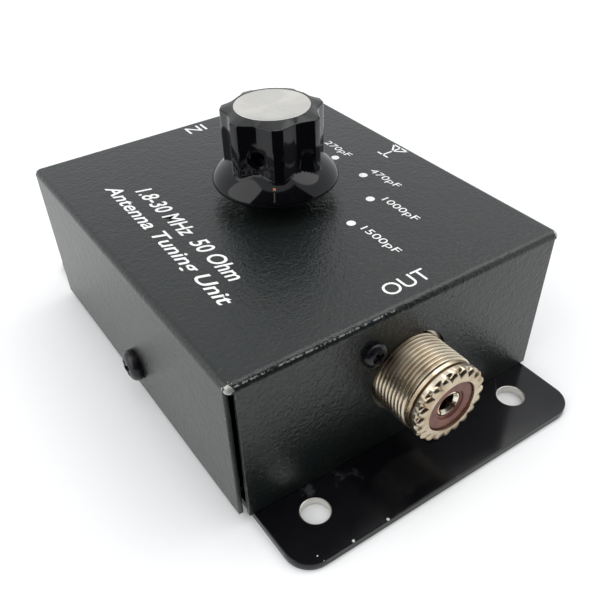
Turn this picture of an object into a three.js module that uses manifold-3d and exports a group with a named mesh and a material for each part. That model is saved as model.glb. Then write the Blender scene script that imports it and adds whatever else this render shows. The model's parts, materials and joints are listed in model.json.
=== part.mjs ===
// Antenna tuner: a small sheet-metal box with a shunt-capacitor selector on top,
// one coax socket on each end wall and a base plate that runs out past both end walls.
// Millimetres, +Z up. The origin is the centre of the underside. The OUT socket faces -Y,
// the IN socket faces +Y, and the side walls face -X and +X.
import * as THREE from 'three';
import { mergeVertices } from 'three/addons/utils/BufferGeometryUtils.js';
import Module from 'manifold-3d';

const wasm = await Module();
wasm.setup();

// ---------------------------------------------------------------- driving dimensions

// cover: one folded sheet, a top with four walls and open corner seams
const coverWidth = 72.6;
const coverDepth = 85.6;
const coverTop = 34.1;
const coverSheet = 1.0;
const coverInnerBend = 0.6;
const cornerSeam = 0.4;

// base plate: a heavier sheet with two side flanges turned up and two mounting lips
const baseSheet = 1.8;
const lipWidth = 68.0;
const lipLength = 14.9;
const lipCorner = 5.0;
const lipHoleRadius = 2.7;
const lipHoleSpacing = 49.4;
const lipHoleToWall = 5.75;
const flangeHeight = 14.0;
const flangeEndRoom = 5.85;

// side screws
const sideScrewHeight = 8.1;
const sideScrewOffset = -0.8;
const sideShankRadius = 1.7;
const sideShankLength = 6.5;
const sideHeadRadius = 3.4;
const sideHeadHeight = 2.3;

// selector axis and knob
const knobX = 1.3;
const knobY = 1.6;
const knobLift = 3.0;
const knobHeight = 15.5;
const knobTopFall = 0.75;
const knobTopFlat = 0.4;
const knobSkirtRadius = 12.8;
const knobSkirtRim = 1.2;
const knobFootTuck = 1.3;
const knobDomeTop = 5.6;
const knobDomePower = 1.45;
const knobDomeInset = 0.5;
const knobGripFoot = 2.8;
const knobLobes = 7;
const knobLobeShare = 0.2;
const knobLobeRadius = 10.1;
const knobFluteRadius = 8.7;
const knobWall = 1.0;
const knobCavityDepth = 2.2;
const knobInlayRadius = 7.4;
const knobInlayDepth = 0.5;
const knobInlaySink = 0.05;
const knobInlayBreak = 0.1;
const knobInsertRadius = 5.0;
const knobInsertLength = 11.3;
const knobInsertCap = 1.0;
const pointerAngle = -123.5;
const lobeFromPointer = 6.0;
const setScrewRadius = 1.45;
const setScrewLength = 3.4;
const setScrewHeight = 8.3;
const setScrewSocket = 1.5;
const setScrewSocketDepth = 1.2;

// rotary switch
const shaftRadius = 3.0;
const shaftTail = 1.5;
const shaftChamfer = 0.3;
const bushingRadius = 4.7;
const bushingProud = 0.8;
const bushingChamfer = 0.4;
const housingRadius = 14.0;
const housingHeight = 3.2;
const housingCap = 1.0;
const housingChamfer = 0.5;
const nutAcrossFlats = 12.7;
const nutHeight = 2.2;
const nutTurn = 12;
const washerRadius = 6.2;
const washerHeight = 0.5;
const washerTeeth = 16;
const washerToothDepth = 0.7;
const switchSteps = 12;
const switchStepAngle = 30;
const firstLugAngle = 75;
const commonLugAngle = 165;
const restWiperAngle = -135;
const waferRadius = 15.0;
const waferHeight = 1.6;
const waferDrop = 7.2;
const rotorRadius = 7.2;
const wiperRingInset = 0.8;
const wiperOverlap = 1.4;
const lugWidth = 1.8;
const lugSheet = 0.35;
const lugSetback = 1.4;
const lugOverhang = 2.6;
const commonLugSetback = 1.5;
const eyeletRadius = 0.54;
const detentDepth = 0.6;
const detentHeight = 1.2;
const detentRoom = 0.4;
const detentHeadroom = 0.3;
const detentWall = 0.15;
const spacerInset = 2.0;
const spacerRadius = 1.7;
const spacerScrewRadius = 1.2;
const spacerHeadRadius = 2.2;
const spacerHeadHeight = 1.4;

// capacitors and wiring
const capacitorValues = [120, 180, 270, 470, 1000, 1500];
const smallestCapacitor = { length: 5.0, height: 6.0, thickness: 2.8 };
const largestCapacitor = { length: 6.6, height: 9.0, thickness: 3.6 };
const capacitorCorner = 1.6;
const capacitorRounding = 0.7;
const capacitorHang = 0.15;
const shortestLead = 0.8;
const leadRadius = 0.35;
const busWireRadius = 0.6;
const busStartTurn = 6;
const busEndTurn = 9;
const linkWireRadius = 0.48;
const throughWireRadius = 0.8;
const throughWireRoom = 0.93;
const groundLugSheet = 0.6;
const groundLugRadius = 3.4;
const groundTagLength = 6.5;
const groundTagWidth = 2.4;

// coax sockets
const socketX = 0.55;
const socketHeight = 17.85;
const socketReach = 11.25;
const threadRadius = 15.875 / 2;
const threadDepth = 0.45;
const threadPitch = 0.88;
const crestStart = 0.35;
const crestEnd = 0.6;
const ringRadius = 7.75;
const ringLength = 2.6;
const ringTeeth = 20;
const ringNotch = 0.6;
const ringNotchLength = 1.1;
const reliefLength = 0.6;
const reliefRadius = 7.0;
const socketHoleRoom = 0.66;
const socketBore = 5.2;
const flangeSize = 25.4;
const flangeSheet = 2.0;
const flangeCorner = 1.5;
const insulatorRecess = 0.5;
const insulatorTail = 3.0;
const insulatorStep = 1.0;
const contactRadius = 2.6;
const contactBore = 2.0;
const contactRecess = 1.0;
const contactSlotLength = 5.0;
const contactSlotWidth = 0.5;
const contactBoreDepth = 9.0;
const contactTail = 8.5;
const contactCupRadius = 1.4;
const contactCupDepth = 3.5;
const socketScrewPitch = 18.2;
const socketScrewRadius = 1.4;
const socketScrewLength = 6.4;
const socketHeadRadius = 2.4;
const socketHeadHeight = 1.7;
const socketNutAcross = 5.5;
const socketNutHeight = 2.2;

// pan heads: each value is a share of the head's own radius or height
const panRim = 0.45;
const panFlat = 0.45;
const crossArm = 0.52;
const crossSlot = 0.13;
const crossFloor = 0.4;

// clearances
const seatGap = 0.02;
const slipFit = 0.05;
const boltGap = 0.1;
const flangeGap = 0.25;
const jointGap = 0.3;

// how far a cutting tool runs past the faces that it opens
const overrun = 1;

// ---------------------------------------------------------------- derived levels

const innerWidth = coverWidth - 2 * coverSheet;
const innerDepth = coverDepth - 2 * coverSheet;
const coverBottom = baseSheet + seatGap;
const topInside = coverTop - coverSheet;
const wallY = coverDepth / 2;
const coverBend = coverSheet + coverInnerBend;
const cornerSetback = coverSheet + cornerSeam;
const flangeLength = innerDepth - 2 * flangeEndRoom;
const socketHoleRadius = threadRadius + socketHoleRoom;
const bushingHoleRadius = bushingRadius + 2 * boltGap;
const baseInnerWidth = innerWidth - 2 * flangeGap;
const knobBottom = coverTop + knobLift;
const knobTop = knobBottom + knobHeight;
const housingTop = topInside - seatGap;
const housingBottom = housingTop - housingHeight;
const waferTop = housingBottom - waferDrop;
const waferBottom = waferTop - waferHeight;
const shaftBottom = waferBottom - shaftTail;
const throughWireZ = shaftBottom - throughWireRoom - throughWireRadius;
const lugZ = waferTop + seatGap;
const wiperZ = lugZ + lugSheet + slipFit;
const busZ = lugZ + lugSheet / 2;
const sideWall = coverWidth / 2;
const lugInnerRadius = rotorRadius + lugSetback;
const lugOuterRadius = waferRadius + lugOverhang;
const wiperRadius = lugInnerRadius + wiperOverlap;
const spacerCircle = housingRadius - spacerInset;
const detentCavityRadius = spacerCircle - spacerScrewRadius - slipFit - detentWall;
const detentRadius = detentCavityRadius - detentRoom;
const leadSpan = largestCapacitor.length + 2 * shortestLead;
const busRadius = lugOuterRadius + leadSpan + 2 * jointGap + busWireRadius;

// inner end of a socket's centre contact, as a distance from the middle of the box
const contactEnd = wallY - coverSheet - seatGap - flangeSheet - contactTail;

const radians = (degrees) => degrees * Math.PI / 180;

// ---------------------------------------------------------------- solid helpers

// signed volume of a closed triangle mesh, positive when its faces point outwards
function signedVolume(geometry) {
  const position = geometry.getAttribute('position');
  const index = geometry.index.array;
  const a = new THREE.Vector3();
  const b = new THREE.Vector3();
  const c = new THREE.Vector3();
  let sum = 0;
  for (let i = 0; i < index.length; i += 3) {
    a.fromBufferAttribute(position, index[i]);
    b.fromBufferAttribute(position, index[i + 1]);
    c.fromBufferAttribute(position, index[i + 2]);
    sum += a.dot(b.cross(c)) / 6;
  }
  return sum;
}

// three.js geometry to a manifold solid, turned the right way out
function solid(geometry) {
  const plain = geometry.clone();
  plain.deleteAttribute('normal');
  plain.deleteAttribute('uv');
  const merged = mergeVertices(plain, 1e-4);
  const index = Uint32Array.from(merged.index.array);
  if (signedVolume(merged) < 0) {
    for (let i = 0; i < index.length; i += 3) {
      [index[i + 1], index[i + 2]] = [index[i + 2], index[i + 1]];
    }
  }
  return new wasm.Manifold(new wasm.Mesh({
    numProp: 3,
    vertProperties: Float32Array.from(merged.getAttribute('position').array),
    triVerts: index,
  }));
}

// manifold solid back to a three.js geometry
function surface(manifold) {
  const mesh = manifold.getMesh();
  const positions = new Float32Array(mesh.numVert * 3);
  for (let i = 0; i < mesh.numVert; i += 1) {
    for (let k = 0; k < 3; k += 1) {
      positions[i * 3 + k] = mesh.vertProperties[i * mesh.numProp + k];
    }
  }
  const geometry = new THREE.BufferGeometry();
  geometry.setAttribute('position', new THREE.BufferAttribute(positions, 3));
  geometry.setIndex(Array.from(mesh.triVerts));
  geometry.computeVertexNormals();
  return geometry;
}

const union = (parts) => parts.reduce((sum, part) => sum.add(part));
const cut = (body, tools) => tools.reduce((rest, tool) => rest.subtract(tool), body);

// box between two corners
function box(x0, y0, z0, x1, y1, z1) {
  const geometry = new THREE.BoxGeometry(x1 - x0, y1 - y0, z1 - z0);
  geometry.translate((x0 + x1) / 2, (y0 + y1) / 2, (z0 + z1) / 2);
  return solid(geometry);
}

// cylinder standing on (x, y, z0), its sides lie on the stated radius at the facets' corners
function cylinder(x, y, z0, z1, radius, sides = 32) {
  const geometry = new THREE.CylinderGeometry(radius, radius, z1 - z0, sides);
  geometry.rotateX(Math.PI / 2);
  geometry.translate(x, y, (z0 + z1) / 2);
  return solid(geometry);
}

// revolved profile about Z: points are [radius, z] and start and end on the axis
function turned(points, sides = 40) {
  const profile = points.map(([radius, z]) => new THREE.Vector2(radius, z));
  const geometry = new THREE.LatheGeometry(profile, sides);
  geometry.rotateX(Math.PI / 2);
  return solid(geometry);
}

// flat outline in XY raised from z0 to z1
function raised(shape, z0, z1, curveSegments = 8) {
  const geometry = new THREE.ExtrudeGeometry(shape, {
    depth: z1 - z0,
    bevelEnabled: false,
    curveSegments,
  });
  geometry.translate(0, 0, z0);
  return solid(geometry);
}

// closed outline from a list of [x, y] points
function outline(points) {
  return new THREE.Shape(points.map(([x, y]) => new THREE.Vector2(x, y)));
}

// regular hexagon by its distance across flats
function hexagon(x, y, acrossFlats) {
  const corner = acrossFlats / Math.sqrt(3);
  const points = [];
  for (let i = 0; i < 6; i += 1) {
    const angle = radians(60 * i);
    points.push([x + corner * Math.cos(angle), y + corner * Math.sin(angle)]);
  }
  return outline(points);
}

// rectangle centred on (x, y) with rounded corners
function roundedRectangle(x, y, width, height, radius) {
  const shape = new THREE.Shape();
  const right = x + width / 2;
  const left = x - width / 2;
  const top = y + height / 2;
  const bottom = y - height / 2;
  shape.moveTo(left + radius, bottom);
  shape.lineTo(right - radius, bottom);
  shape.absarc(right - radius, bottom + radius, radius, -Math.PI / 2, 0);
  shape.lineTo(right, top - radius);
  shape.absarc(right - radius, top - radius, radius, 0, Math.PI / 2);
  shape.lineTo(left + radius, top);
  shape.absarc(left + radius, top - radius, radius, Math.PI / 2, Math.PI);
  shape.lineTo(left, bottom + radius);
  shape.absarc(left + radius, bottom + radius, radius, Math.PI, 1.5 * Math.PI);
  return shape;
}

// round wire along a smooth curve through the given points
function wire(points, radius, steps) {
  const path = new THREE.CatmullRomCurve3(points.map(([x, y, z]) => new THREE.Vector3(x, y, z)));
  const section = new THREE.Shape();
  section.absarc(0, 0, radius, 0, 2 * Math.PI);
  return solid(new THREE.ExtrudeGeometry(section, {
    steps,
    extrudePath: path,
    curveSegments: 4,
    bevelEnabled: false,
  }));
}

// moves along X, Y and Z, and turns about Z
const moved = (body, x, y, z) => body.translate([x, y, z]);
const spun = (body, degrees) => body.rotate([0, 0, degrees]);

// stands a solid made along +Z on an end wall: out points to -Y (front) or +Y (rear)
function onEndWall(body, front) {
  return front ? body.rotate([90, 0, 0]) : body.rotate([90, 0, 180]);
}

// ---------------------------------------------------------------- materials and nodes

const tuner = new THREE.Group();
tuner.name = 'antenna_tuner';

const finishes = {
  coverPaint: { color: 0x2b2f2e, roughness: 0.45, metalness: 0.0 },
  basePaint: { color: 0x1c1c1e, roughness: 0.3, metalness: 0.0 },
  blackScrew: { color: 0x151517, roughness: 0.3, metalness: 0.6 },
  blackPlastic: { color: 0x0c0c0e, roughness: 0.2, metalness: 0.0 },
  spunAluminium: { color: 0xd9d7d2, roughness: 0.3, metalness: 1.0 },
  brass: { color: 0xb58a45, roughness: 0.35, metalness: 1.0 },
  nickel: { color: 0xc9bfa6, roughness: 0.25, metalness: 1.0 },
  zinc: { color: 0xa8a9a8, roughness: 0.4, metalness: 1.0 },
  steel: { color: 0x8f9193, roughness: 0.35, metalness: 1.0 },
  phenolic: { color: 0x6d3f38, roughness: 0.6, metalness: 0.0 },
  waferBoard: { color: 0x8a5a2c, roughness: 0.6, metalness: 0.0 },
  capacitorDip: { color: 0x7a3a1e, roughness: 0.4, metalness: 0.0 },
  tinned: { color: 0xbfc1c2, roughness: 0.3, metalness: 1.0 },
};

function add(name, manifold, finish) {
  const mesh = new THREE.Mesh(surface(manifold), new THREE.MeshStandardMaterial(finishes[finish]));
  mesh.name = name;
  tuner.add(mesh);
}

// ---------------------------------------------------------------- cover

// folded channel along Y: top and two walls, with round bends outside and inside
function channel(width, length, top, bottom) {
  const half = width / 2;
  const inner = half - coverSheet;
  const shape = new THREE.Shape();
  shape.moveTo(half, bottom);
  shape.lineTo(half, top - coverBend);
  shape.absarc(half - coverBend, top - coverBend, coverBend, 0, Math.PI / 2);
  shape.lineTo(-half + coverBend, top);
  shape.absarc(-half + coverBend, top - coverBend, coverBend, Math.PI / 2, Math.PI);
  shape.lineTo(-half, bottom);
  shape.lineTo(-inner, bottom);
  shape.lineTo(-inner, top - coverBend);
  shape.absarc(-half + coverBend, top - coverBend, coverInnerBend, Math.PI, Math.PI / 2, true);
  shape.lineTo(half - coverBend, top - coverSheet);
  shape.absarc(half - coverBend, top - coverBend, coverInnerBend, Math.PI / 2, 0, true);
  shape.lineTo(inner, bottom);
  const geometry = new THREE.ExtrudeGeometry(shape, {
    depth: length,
    bevelEnabled: false,
    curveSegments: 6,
  });
  geometry.rotateX(Math.PI / 2);
  geometry.translate(0, length / 2, 0);
  return solid(geometry);
}

function makeCover() {
  const sides = channel(coverWidth, coverDepth - 2 * cornerSetback, coverTop, coverBottom);
  const ends = channel(coverDepth, coverWidth - 2 * cornerSetback, coverTop, coverBottom)
    .rotate([0, 0, 90]);
  const holes = [cylinder(knobX, knobY, topInside - overrun, coverTop + overrun, bushingHoleRadius)];
  for (const front of [true, false]) {
    const side = front ? -1 : 1;
    const reach = coverSheet + overrun;
    const atWall = (body, x, z) => moved(onEndWall(body, front), x, side * wallY, z);
    holes.push(atWall(cylinder(0, 0, -reach, reach, socketHoleRadius), socketX, socketHeight));
    for (const [x, z] of socketScrewPlaces(front)) {
      holes.push(atWall(cylinder(0, 0, -reach, reach, socketScrewRadius + boltGap, 20), x, z));
    }
    const hole = cylinder(0, 0, -reach, reach, sideShankRadius + boltGap, 24).rotate([0, 90, 0]);
    holes.push(moved(hole, side * sideWall, sideScrewOffset, sideScrewHeight));
  }
  add('cover', cut(sides.add(ends), holes), 'coverPaint');
}

// ---------------------------------------------------------------- base plate

function makeBasePlate() {
  const length = coverDepth + 2 * lipLength;
  const half = baseInnerWidth / 2;
  const parts = [
    raised(roundedRectangle(0, 0, lipWidth, length, lipCorner), 0, baseSheet),
    box(-half, -flangeLength / 2, 0, half, flangeLength / 2, baseSheet),
  ];
  const flangeTop = baseSheet + flangeHeight;
  for (const side of [-1, 1]) {
    const outer = side * half;
    const inner = side * (half - baseSheet);
    parts.push(box(
      Math.min(outer, inner), -flangeLength / 2, 0,
      Math.max(outer, inner), flangeLength / 2, flangeTop,
    ));
  }
  const holes = [];
  for (const side of [-1, 1]) {
    const y = side * (wallY + lipHoleToWall);
    for (const x of [-lipHoleSpacing / 2, lipHoleSpacing / 2]) {
      holes.push(cylinder(x, y, -overrun, baseSheet + overrun, lipHoleRadius));
    }
    const reach = baseSheet + overrun;
    const hole = cylinder(0, 0, -reach, reach, sideShankRadius + slipFit, 24);
    holes.push(moved(hole.rotate([0, 90, 0]), side * half, sideScrewOffset, sideScrewHeight));
  }
  add('base_plate', cut(union(parts), holes), 'basePaint');
}

// ---------------------------------------------------------------- screws and nuts

// pan-head screw along Z, its head above z = 0 and its shank below, with a cross recess
function panScrew(headRadius, headHeight, shankRadius, shankLength, sides = 24) {
  const rim = headHeight * panRim;
  const point = shankRadius / 4;
  const profile = [[0, -shankLength], [shankRadius - point, -shankLength]];
  profile.push([shankRadius, -shankLength + point], [shankRadius, 0], [headRadius, 0]);
  profile.push([headRadius, rim]);
  for (let i = 1; i < 4; i += 1) {
    const angle = radians(90 * i / 4);
    profile.push([
      headRadius * (panFlat + (1 - panFlat) * Math.cos(angle)),
      rim + (headHeight - rim) * Math.sin(angle),
    ]);
  }
  profile.push([headRadius * panFlat, headHeight], [0, headHeight]);
  const arm = headRadius * crossArm;
  const slot = headRadius * crossSlot;
  const floor = headHeight * crossFloor;
  return cut(turned(profile, sides), [
    box(-arm, -slot, floor, arm, slot, headHeight + overrun),
    box(-slot, -arm, floor, slot, arm, headHeight + overrun),
  ]);
}

function makeSideScrews() {
  for (const [name, side] of [['left', -1], ['right', 1]]) {
    const screw = panScrew(sideHeadRadius, sideHeadHeight, sideShankRadius, sideShankLength);
    const turnedOut = spun(screw, 35).rotate([0, side * 90, 0]);
    const x = side * (sideWall + seatGap);
    add(`side_screw_${name}`, moved(turnedOut, x, sideScrewOffset, sideScrewHeight), 'blackScrew');
  }
}

// the two screws of a socket sit on one diagonal of its flange, as [x, z]
function socketScrewPlaces(front) {
  const half = socketScrewPitch / 2;
  const lean = front ? -1 : 1;
  return [
    [socketX + lean * half, socketHeight + half],
    [socketX - lean * half, socketHeight - half],
  ];
}

function makeSocketFasteners(front) {
  const end = front ? 'out' : 'in';
  const side = front ? -1 : 1;
  const names = ['upper', 'lower'];
  socketScrewPlaces(front).forEach(([x, z], i) => {
    const screw = panScrew(socketHeadRadius, socketHeadHeight, socketScrewRadius,
      socketScrewLength, 20);
    const placed = moved(onEndWall(spun(screw, 25 + 30 * i), front), x,
      side * (wallY + seatGap), z);
    add(`${end}_socket_screw_${names[i]}`, placed, 'blackScrew');
    const nut = cut(raised(hexagon(0, 0, socketNutAcross), -socketNutHeight, 0), [
      cylinder(0, 0, -socketNutHeight - overrun, overrun, socketScrewRadius + slipFit, 20),
    ]);
    const lugUnder = isGroundScrew(front, i) ? groundLugSheet : 0;
    const stack = coverSheet + flangeSheet + 3 * seatGap + lugUnder;
    const nutPlaced = moved(onEndWall(nut, front), x, side * (wallY - stack), z);
    add(`${end}_socket_nut_${names[i]}`, nutPlaced, 'zinc');
  });
}

// the ground lug sits under the lower nut of the OUT socket
const isGroundScrew = (front, i) => front && i === 1;

// ---------------------------------------------------------------- coax sockets

// barrel profile from the flange out: thread crests, relief and end ring, as [radius, z],
// where z = 0 is the outer face of the end wall
function barrelProfile() {
  const tip = socketReach;
  const threadEnd = tip - ringLength - reliefLength;
  const threadStart = threadEnd - threadPitch * Math.floor(threadEnd / threadPitch);
  const core = threadRadius - threadDepth;
  const points = [[core, threadStart]];
  for (let z = threadStart; z < threadEnd - threadPitch / 2; z += threadPitch) {
    points.push([threadRadius, z + threadPitch * crestStart]);
    points.push([threadRadius, z + threadPitch * crestEnd]);
    points.push([core, z + threadPitch]);
  }
  points.push([reliefRadius, threadEnd + reliefLength / 3]);
  points.push([reliefRadius, tip - ringLength]);
  points.push([ringRadius, tip - ringLength]);
  points.push([ringRadius, tip]);
  return points;
}

function makeSocket(front) {
  const end = front ? 'out' : 'in';
  const side = front ? -1 : 1;
  const place = (body) => moved(onEndWall(body, front), socketX, side * wallY, socketHeight);
  const flangeFront = -coverSheet - seatGap;
  const flangeBack = flangeFront - flangeSheet;
  const tip = socketReach;

  const barrel = turned([
    [0, flangeBack], [threadRadius - threadDepth, flangeBack],
    ...barrelProfile(), [0, tip],
  ], 28);
  const square = roundedRectangle(0, 0, flangeSize, flangeSize, flangeCorner);
  const flange = raised(square, flangeBack, flangeFront);
  const cuts = [cylinder(0, 0, flangeBack - overrun, tip + overrun, socketBore, 40)];
  const notchCircle = ringRadius + ringNotch * 0.3;
  for (let i = 0; i < ringTeeth; i += 1) {
    const angle = radians(360 * i / ringTeeth);
    cuts.push(cylinder(
      notchCircle * Math.cos(angle), notchCircle * Math.sin(angle),
      tip - ringNotchLength, tip + overrun, ringNotch, 8,
    ));
  }
  for (const [x, z] of socketScrewPlaces(front)) {
    const across = (x - socketX) * (front ? 1 : -1);
    cuts.push(cylinder(across, z - socketHeight, flangeBack - overrun, flangeFront + overrun,
      socketScrewRadius + boltGap, 20));
  }
  add(`${end}_socket_shell`, place(cut(barrel.add(flange), cuts)), 'nickel');

  const insulatorTop = tip - insulatorRecess;
  const pocket = contactRadius + slipFit;
  const insulator = cut(turned([
    [0, flangeBack - insulatorTail], [socketBore - insulatorStep, flangeBack - insulatorTail],
    [socketBore - insulatorStep, flangeBack - seatGap], [socketBore - slipFit, flangeBack - seatGap],
    [socketBore - slipFit, insulatorTop], [0, insulatorTop],
  ], 40), [cylinder(0, 0, flangeBack - insulatorTail - overrun, tip, pocket, 24)]);
  add(`${end}_socket_insulator`, place(insulator), 'phenolic');

  const contactTop = tip - contactRecess;
  const contactBottom = flangeBack - contactTail;
  const slots = [
    box(-contactRadius - overrun, -contactSlotWidth / 2, contactTop - contactSlotLength,
      contactRadius + overrun, contactSlotWidth / 2, tip),
  ];
  slots.push(slots[0].rotate([0, 0, 90]));
  const cupTop = contactBottom + contactCupDepth;
  const cup = cylinder(0, 0, contactBottom - overrun, cupTop, contactCupRadius, 20);
  const bore = cylinder(0, 0, contactTop - contactBoreDepth, tip, contactBore, 24);
  const contact = cut(cylinder(0, 0, contactBottom, contactTop, contactRadius, 24),
    [...slots, bore, cup]);
  add(`${end}_socket_contact`, place(contact), 'brass');
  makeSocketFasteners(front);
}

// ---------------------------------------------------------------- knob

// fluted outline: broad lobes with round-bottomed flutes between them
function flutedOutline(lobeRadius, fluteRadius) {
  const steps = 10;
  const points = [];
  for (let i = 0; i < knobLobes; i += 1) {
    for (let k = 0; k < steps; k += 1) {
      const share = k / steps;
      const angle = radians(360 * (i + share) / knobLobes);
      const intoFlute = Math.max(0, 1 - Math.abs(share - 0.5) / (0.5 - knobLobeShare / 2));
      const radius = lobeRadius - (lobeRadius - fluteRadius) * Math.sin(intoFlute * Math.PI / 2);
      points.push([radius * Math.cos(angle), radius * Math.sin(angle)]);
    }
  }
  return outline(points);
}

// outline of the domed skirt, from its underside up to where the grip hides it, as [radius, z]
function skirtProfile() {
  const points = [[0, 0], [knobSkirtRadius - knobFootTuck, 0]];
  const steps = 6;
  const fall = knobSkirtRadius - knobFluteRadius + knobDomeInset;
  for (let i = 0; i <= steps; i += 1) {
    const rise = i / steps;
    const z = knobSkirtRim + (knobDomeTop - knobSkirtRim) * rise;
    points.push([knobSkirtRadius - fall * rise ** knobDomePower, z]);
  }
  points.push([0, knobDomeTop]);
  return points;
}

function makeKnob() {
  const lobeAngle = pointerAngle + lobeFromPointer;
  const place = (body, turn = 0) => moved(spun(body, turn), knobX, knobY, knobBottom);
  const shoulder = knobHeight - knobTopFall;
  const grip = raised(flutedOutline(knobLobeRadius, knobFluteRadius), knobGripFoot, shoulder, 4);
  const skirt = turned(skirtProfile(), 42);
  const crown = turned([
    [0, knobGripFoot], [knobFluteRadius - knobWall, knobGripFoot],
    [knobFluteRadius - seatGap, shoulder], [knobInlayRadius + knobTopFlat, knobHeight],
    [0, knobHeight],
  ], 42);
  const insertBottom = knobCavityDepth + seatGap;
  const setScrewHole = cylinder(0, 0, 0, knobSkirtRadius, setScrewRadius + slipFit, 20)
    .rotate([0, 90, 0]);
  const hub = knobInsertRadius + slipFit;
  const body = cut(union([grip, skirt, crown]), [
    cylinder(0, 0, -overrun, knobCavityDepth, knobSkirtRadius - knobFootTuck - knobWall, 36),
    cylinder(0, 0, 0, insertBottom + knobInsertLength + seatGap, hub, 32),
    cylinder(0, 0, knobHeight - knobInlayDepth, knobHeight + overrun, knobInlayRadius + slipFit, 48),
    spun(moved(setScrewHole, 0, 0, setScrewHeight), -180 / knobLobes),
  ]);
  add('knob_body', place(body, lobeAngle), 'blackPlastic');

  const inlayTop = knobHeight - knobInlaySink;
  const inlay = turned([
    [0, knobHeight - knobInlayDepth + seatGap],
    [knobInlayRadius, knobHeight - knobInlayDepth + seatGap],
    [knobInlayRadius, inlayTop - knobInlayBreak], [knobInlayRadius - knobInlayBreak, inlayTop],
    [0, inlayTop],
  ], 48);
  add('knob_inlay', place(inlay), 'spunAluminium');

  const screwTurn = lobeAngle - 180 / knobLobes;
  const insertHole = cylinder(0, 0, 0, knobSkirtRadius, setScrewRadius + slipFit, 20)
    .rotate([0, 90, 0]);
  const insertTop = insertBottom + knobInsertLength;
  const insert = cut(cylinder(0, 0, insertBottom, insertTop, knobInsertRadius), [
    cylinder(0, 0, insertBottom - overrun, insertTop - knobInsertCap, shaftRadius + slipFit, 32),
    moved(insertHole, 0, 0, setScrewHeight),
  ]);
  add('knob_insert', place(insert, screwTurn), 'brass');

  const flatDepth = shaftRadius + slipFit + seatGap;
  const screw = cut(cylinder(0, 0, flatDepth, flatDepth + setScrewLength, setScrewRadius, 20), [
    raised(hexagon(0, 0, setScrewSocket), flatDepth + setScrewLength - setScrewSocketDepth,
      flatDepth + setScrewLength + overrun),
  ]).rotate([0, 90, 0]);
  add('knob_set_screw', place(moved(screw, 0, 0, setScrewHeight), screwTurn), 'blackScrew');
}

// ---------------------------------------------------------------- rotary switch

// places a solid made about the origin on the selector axis
const onAxis = (body, turn = 0) => moved(spun(body, turn), knobX, knobY, 0);

function makeShaft() {
  const top = knobBottom + knobCavityDepth + knobInsertLength - knobInsertCap;
  add('switch_shaft', onAxis(turned([
    [0, shaftBottom], [shaftRadius - shaftChamfer, shaftBottom],
    [shaftRadius, shaftBottom + shaftChamfer], [shaftRadius, top - shaftChamfer],
    [shaftRadius - shaftChamfer, top], [0, top],
  ], 32)), 'brass');
}

function makeHousing() {
  const bushingTop = coverTop + seatGap * 2 + washerHeight + nutHeight + bushingProud;
  const body = turned([
    [0, housingBottom], [housingRadius - housingChamfer, housingBottom],
    [housingRadius, housingBottom + housingChamfer], [housingRadius, housingTop - housingChamfer],
    [housingRadius - housingChamfer, housingTop],
    [bushingRadius, housingTop], [bushingRadius, bushingTop - bushingChamfer],
    [bushingRadius - bushingChamfer, bushingTop], [0, bushingTop],
  ], 40);
  const cavityTop = housingBottom + detentHeight + detentHeadroom;
  const cuts = [
    cylinder(0, 0, housingBottom - overrun, bushingTop + overrun, shaftRadius + slipFit, 32),
    cylinder(0, 0, housingBottom - overrun, cavityTop, detentCavityRadius, 40),
  ];
  for (const angle of [0, 180]) {
    cuts.push(spun(cylinder(spacerCircle, 0, housingBottom - overrun, housingTop - housingCap,
      spacerScrewRadius + slipFit, 16), angle));
  }
  add('switch_housing', onAxis(cut(body, cuts)), 'zinc');

  const nutBottom = coverTop + seatGap * 2 + washerHeight;
  const nutTop = nutBottom + nutHeight;
  const nut = cut(raised(hexagon(0, 0, nutAcrossFlats), nutBottom, nutTop), [
    cylinder(0, 0, nutBottom - overrun, nutTop + overrun, bushingRadius + slipFit, 40),
  ]);
  add('switch_nut', onAxis(nut, nutTurn), 'blackScrew');

  const washerBottom = coverTop + seatGap;
  const washerTop = washerBottom + washerHeight;
  const teeth = toothedRing(washerRadius, washerToothDepth, washerTeeth);
  add('switch_washer', onAxis(cut(raised(teeth, washerBottom, washerTop), [
    cylinder(0, 0, washerBottom - overrun, washerTop + overrun, bushingRadius + slipFit, 40),
  ])), 'blackScrew');
}

// round outline with square-cut teeth
function toothedRing(radius, depth, teeth) {
  const points = [];
  for (let i = 0; i < teeth; i += 1) {
    for (const [share, r] of [[0.05, radius], [0.45, radius], [0.6, radius - depth],
      [0.9, radius - depth]]) {
      const angle = radians(360 * (i + share) / teeth);
      points.push([r * Math.cos(angle), r * Math.sin(angle)]);
    }
  }
  return outline(points);
}

function makeDetent() {
  const bottom = housingBottom + slipFit;
  const points = [];
  const perStep = 6;
  for (let i = 0; i < switchSteps * perStep; i += 1) {
    const share = (i % perStep) / perStep;
    const radius = detentRadius - detentDepth * (0.5 + 0.5 * Math.cos(2 * Math.PI * share));
    const angle = radians(switchStepAngle * i / perStep);
    points.push([radius * Math.cos(angle), radius * Math.sin(angle)]);
  }
  const wheel = cut(raised(outline(points), bottom, bottom + detentHeight), [
    cylinder(0, 0, bottom - overrun, bottom + detentHeight + overrun, shaftRadius + seatGap, 32),
  ]);
  add('switch_detent_wheel', onAxis(wheel, restWiperAngle), 'steel');
}

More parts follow.
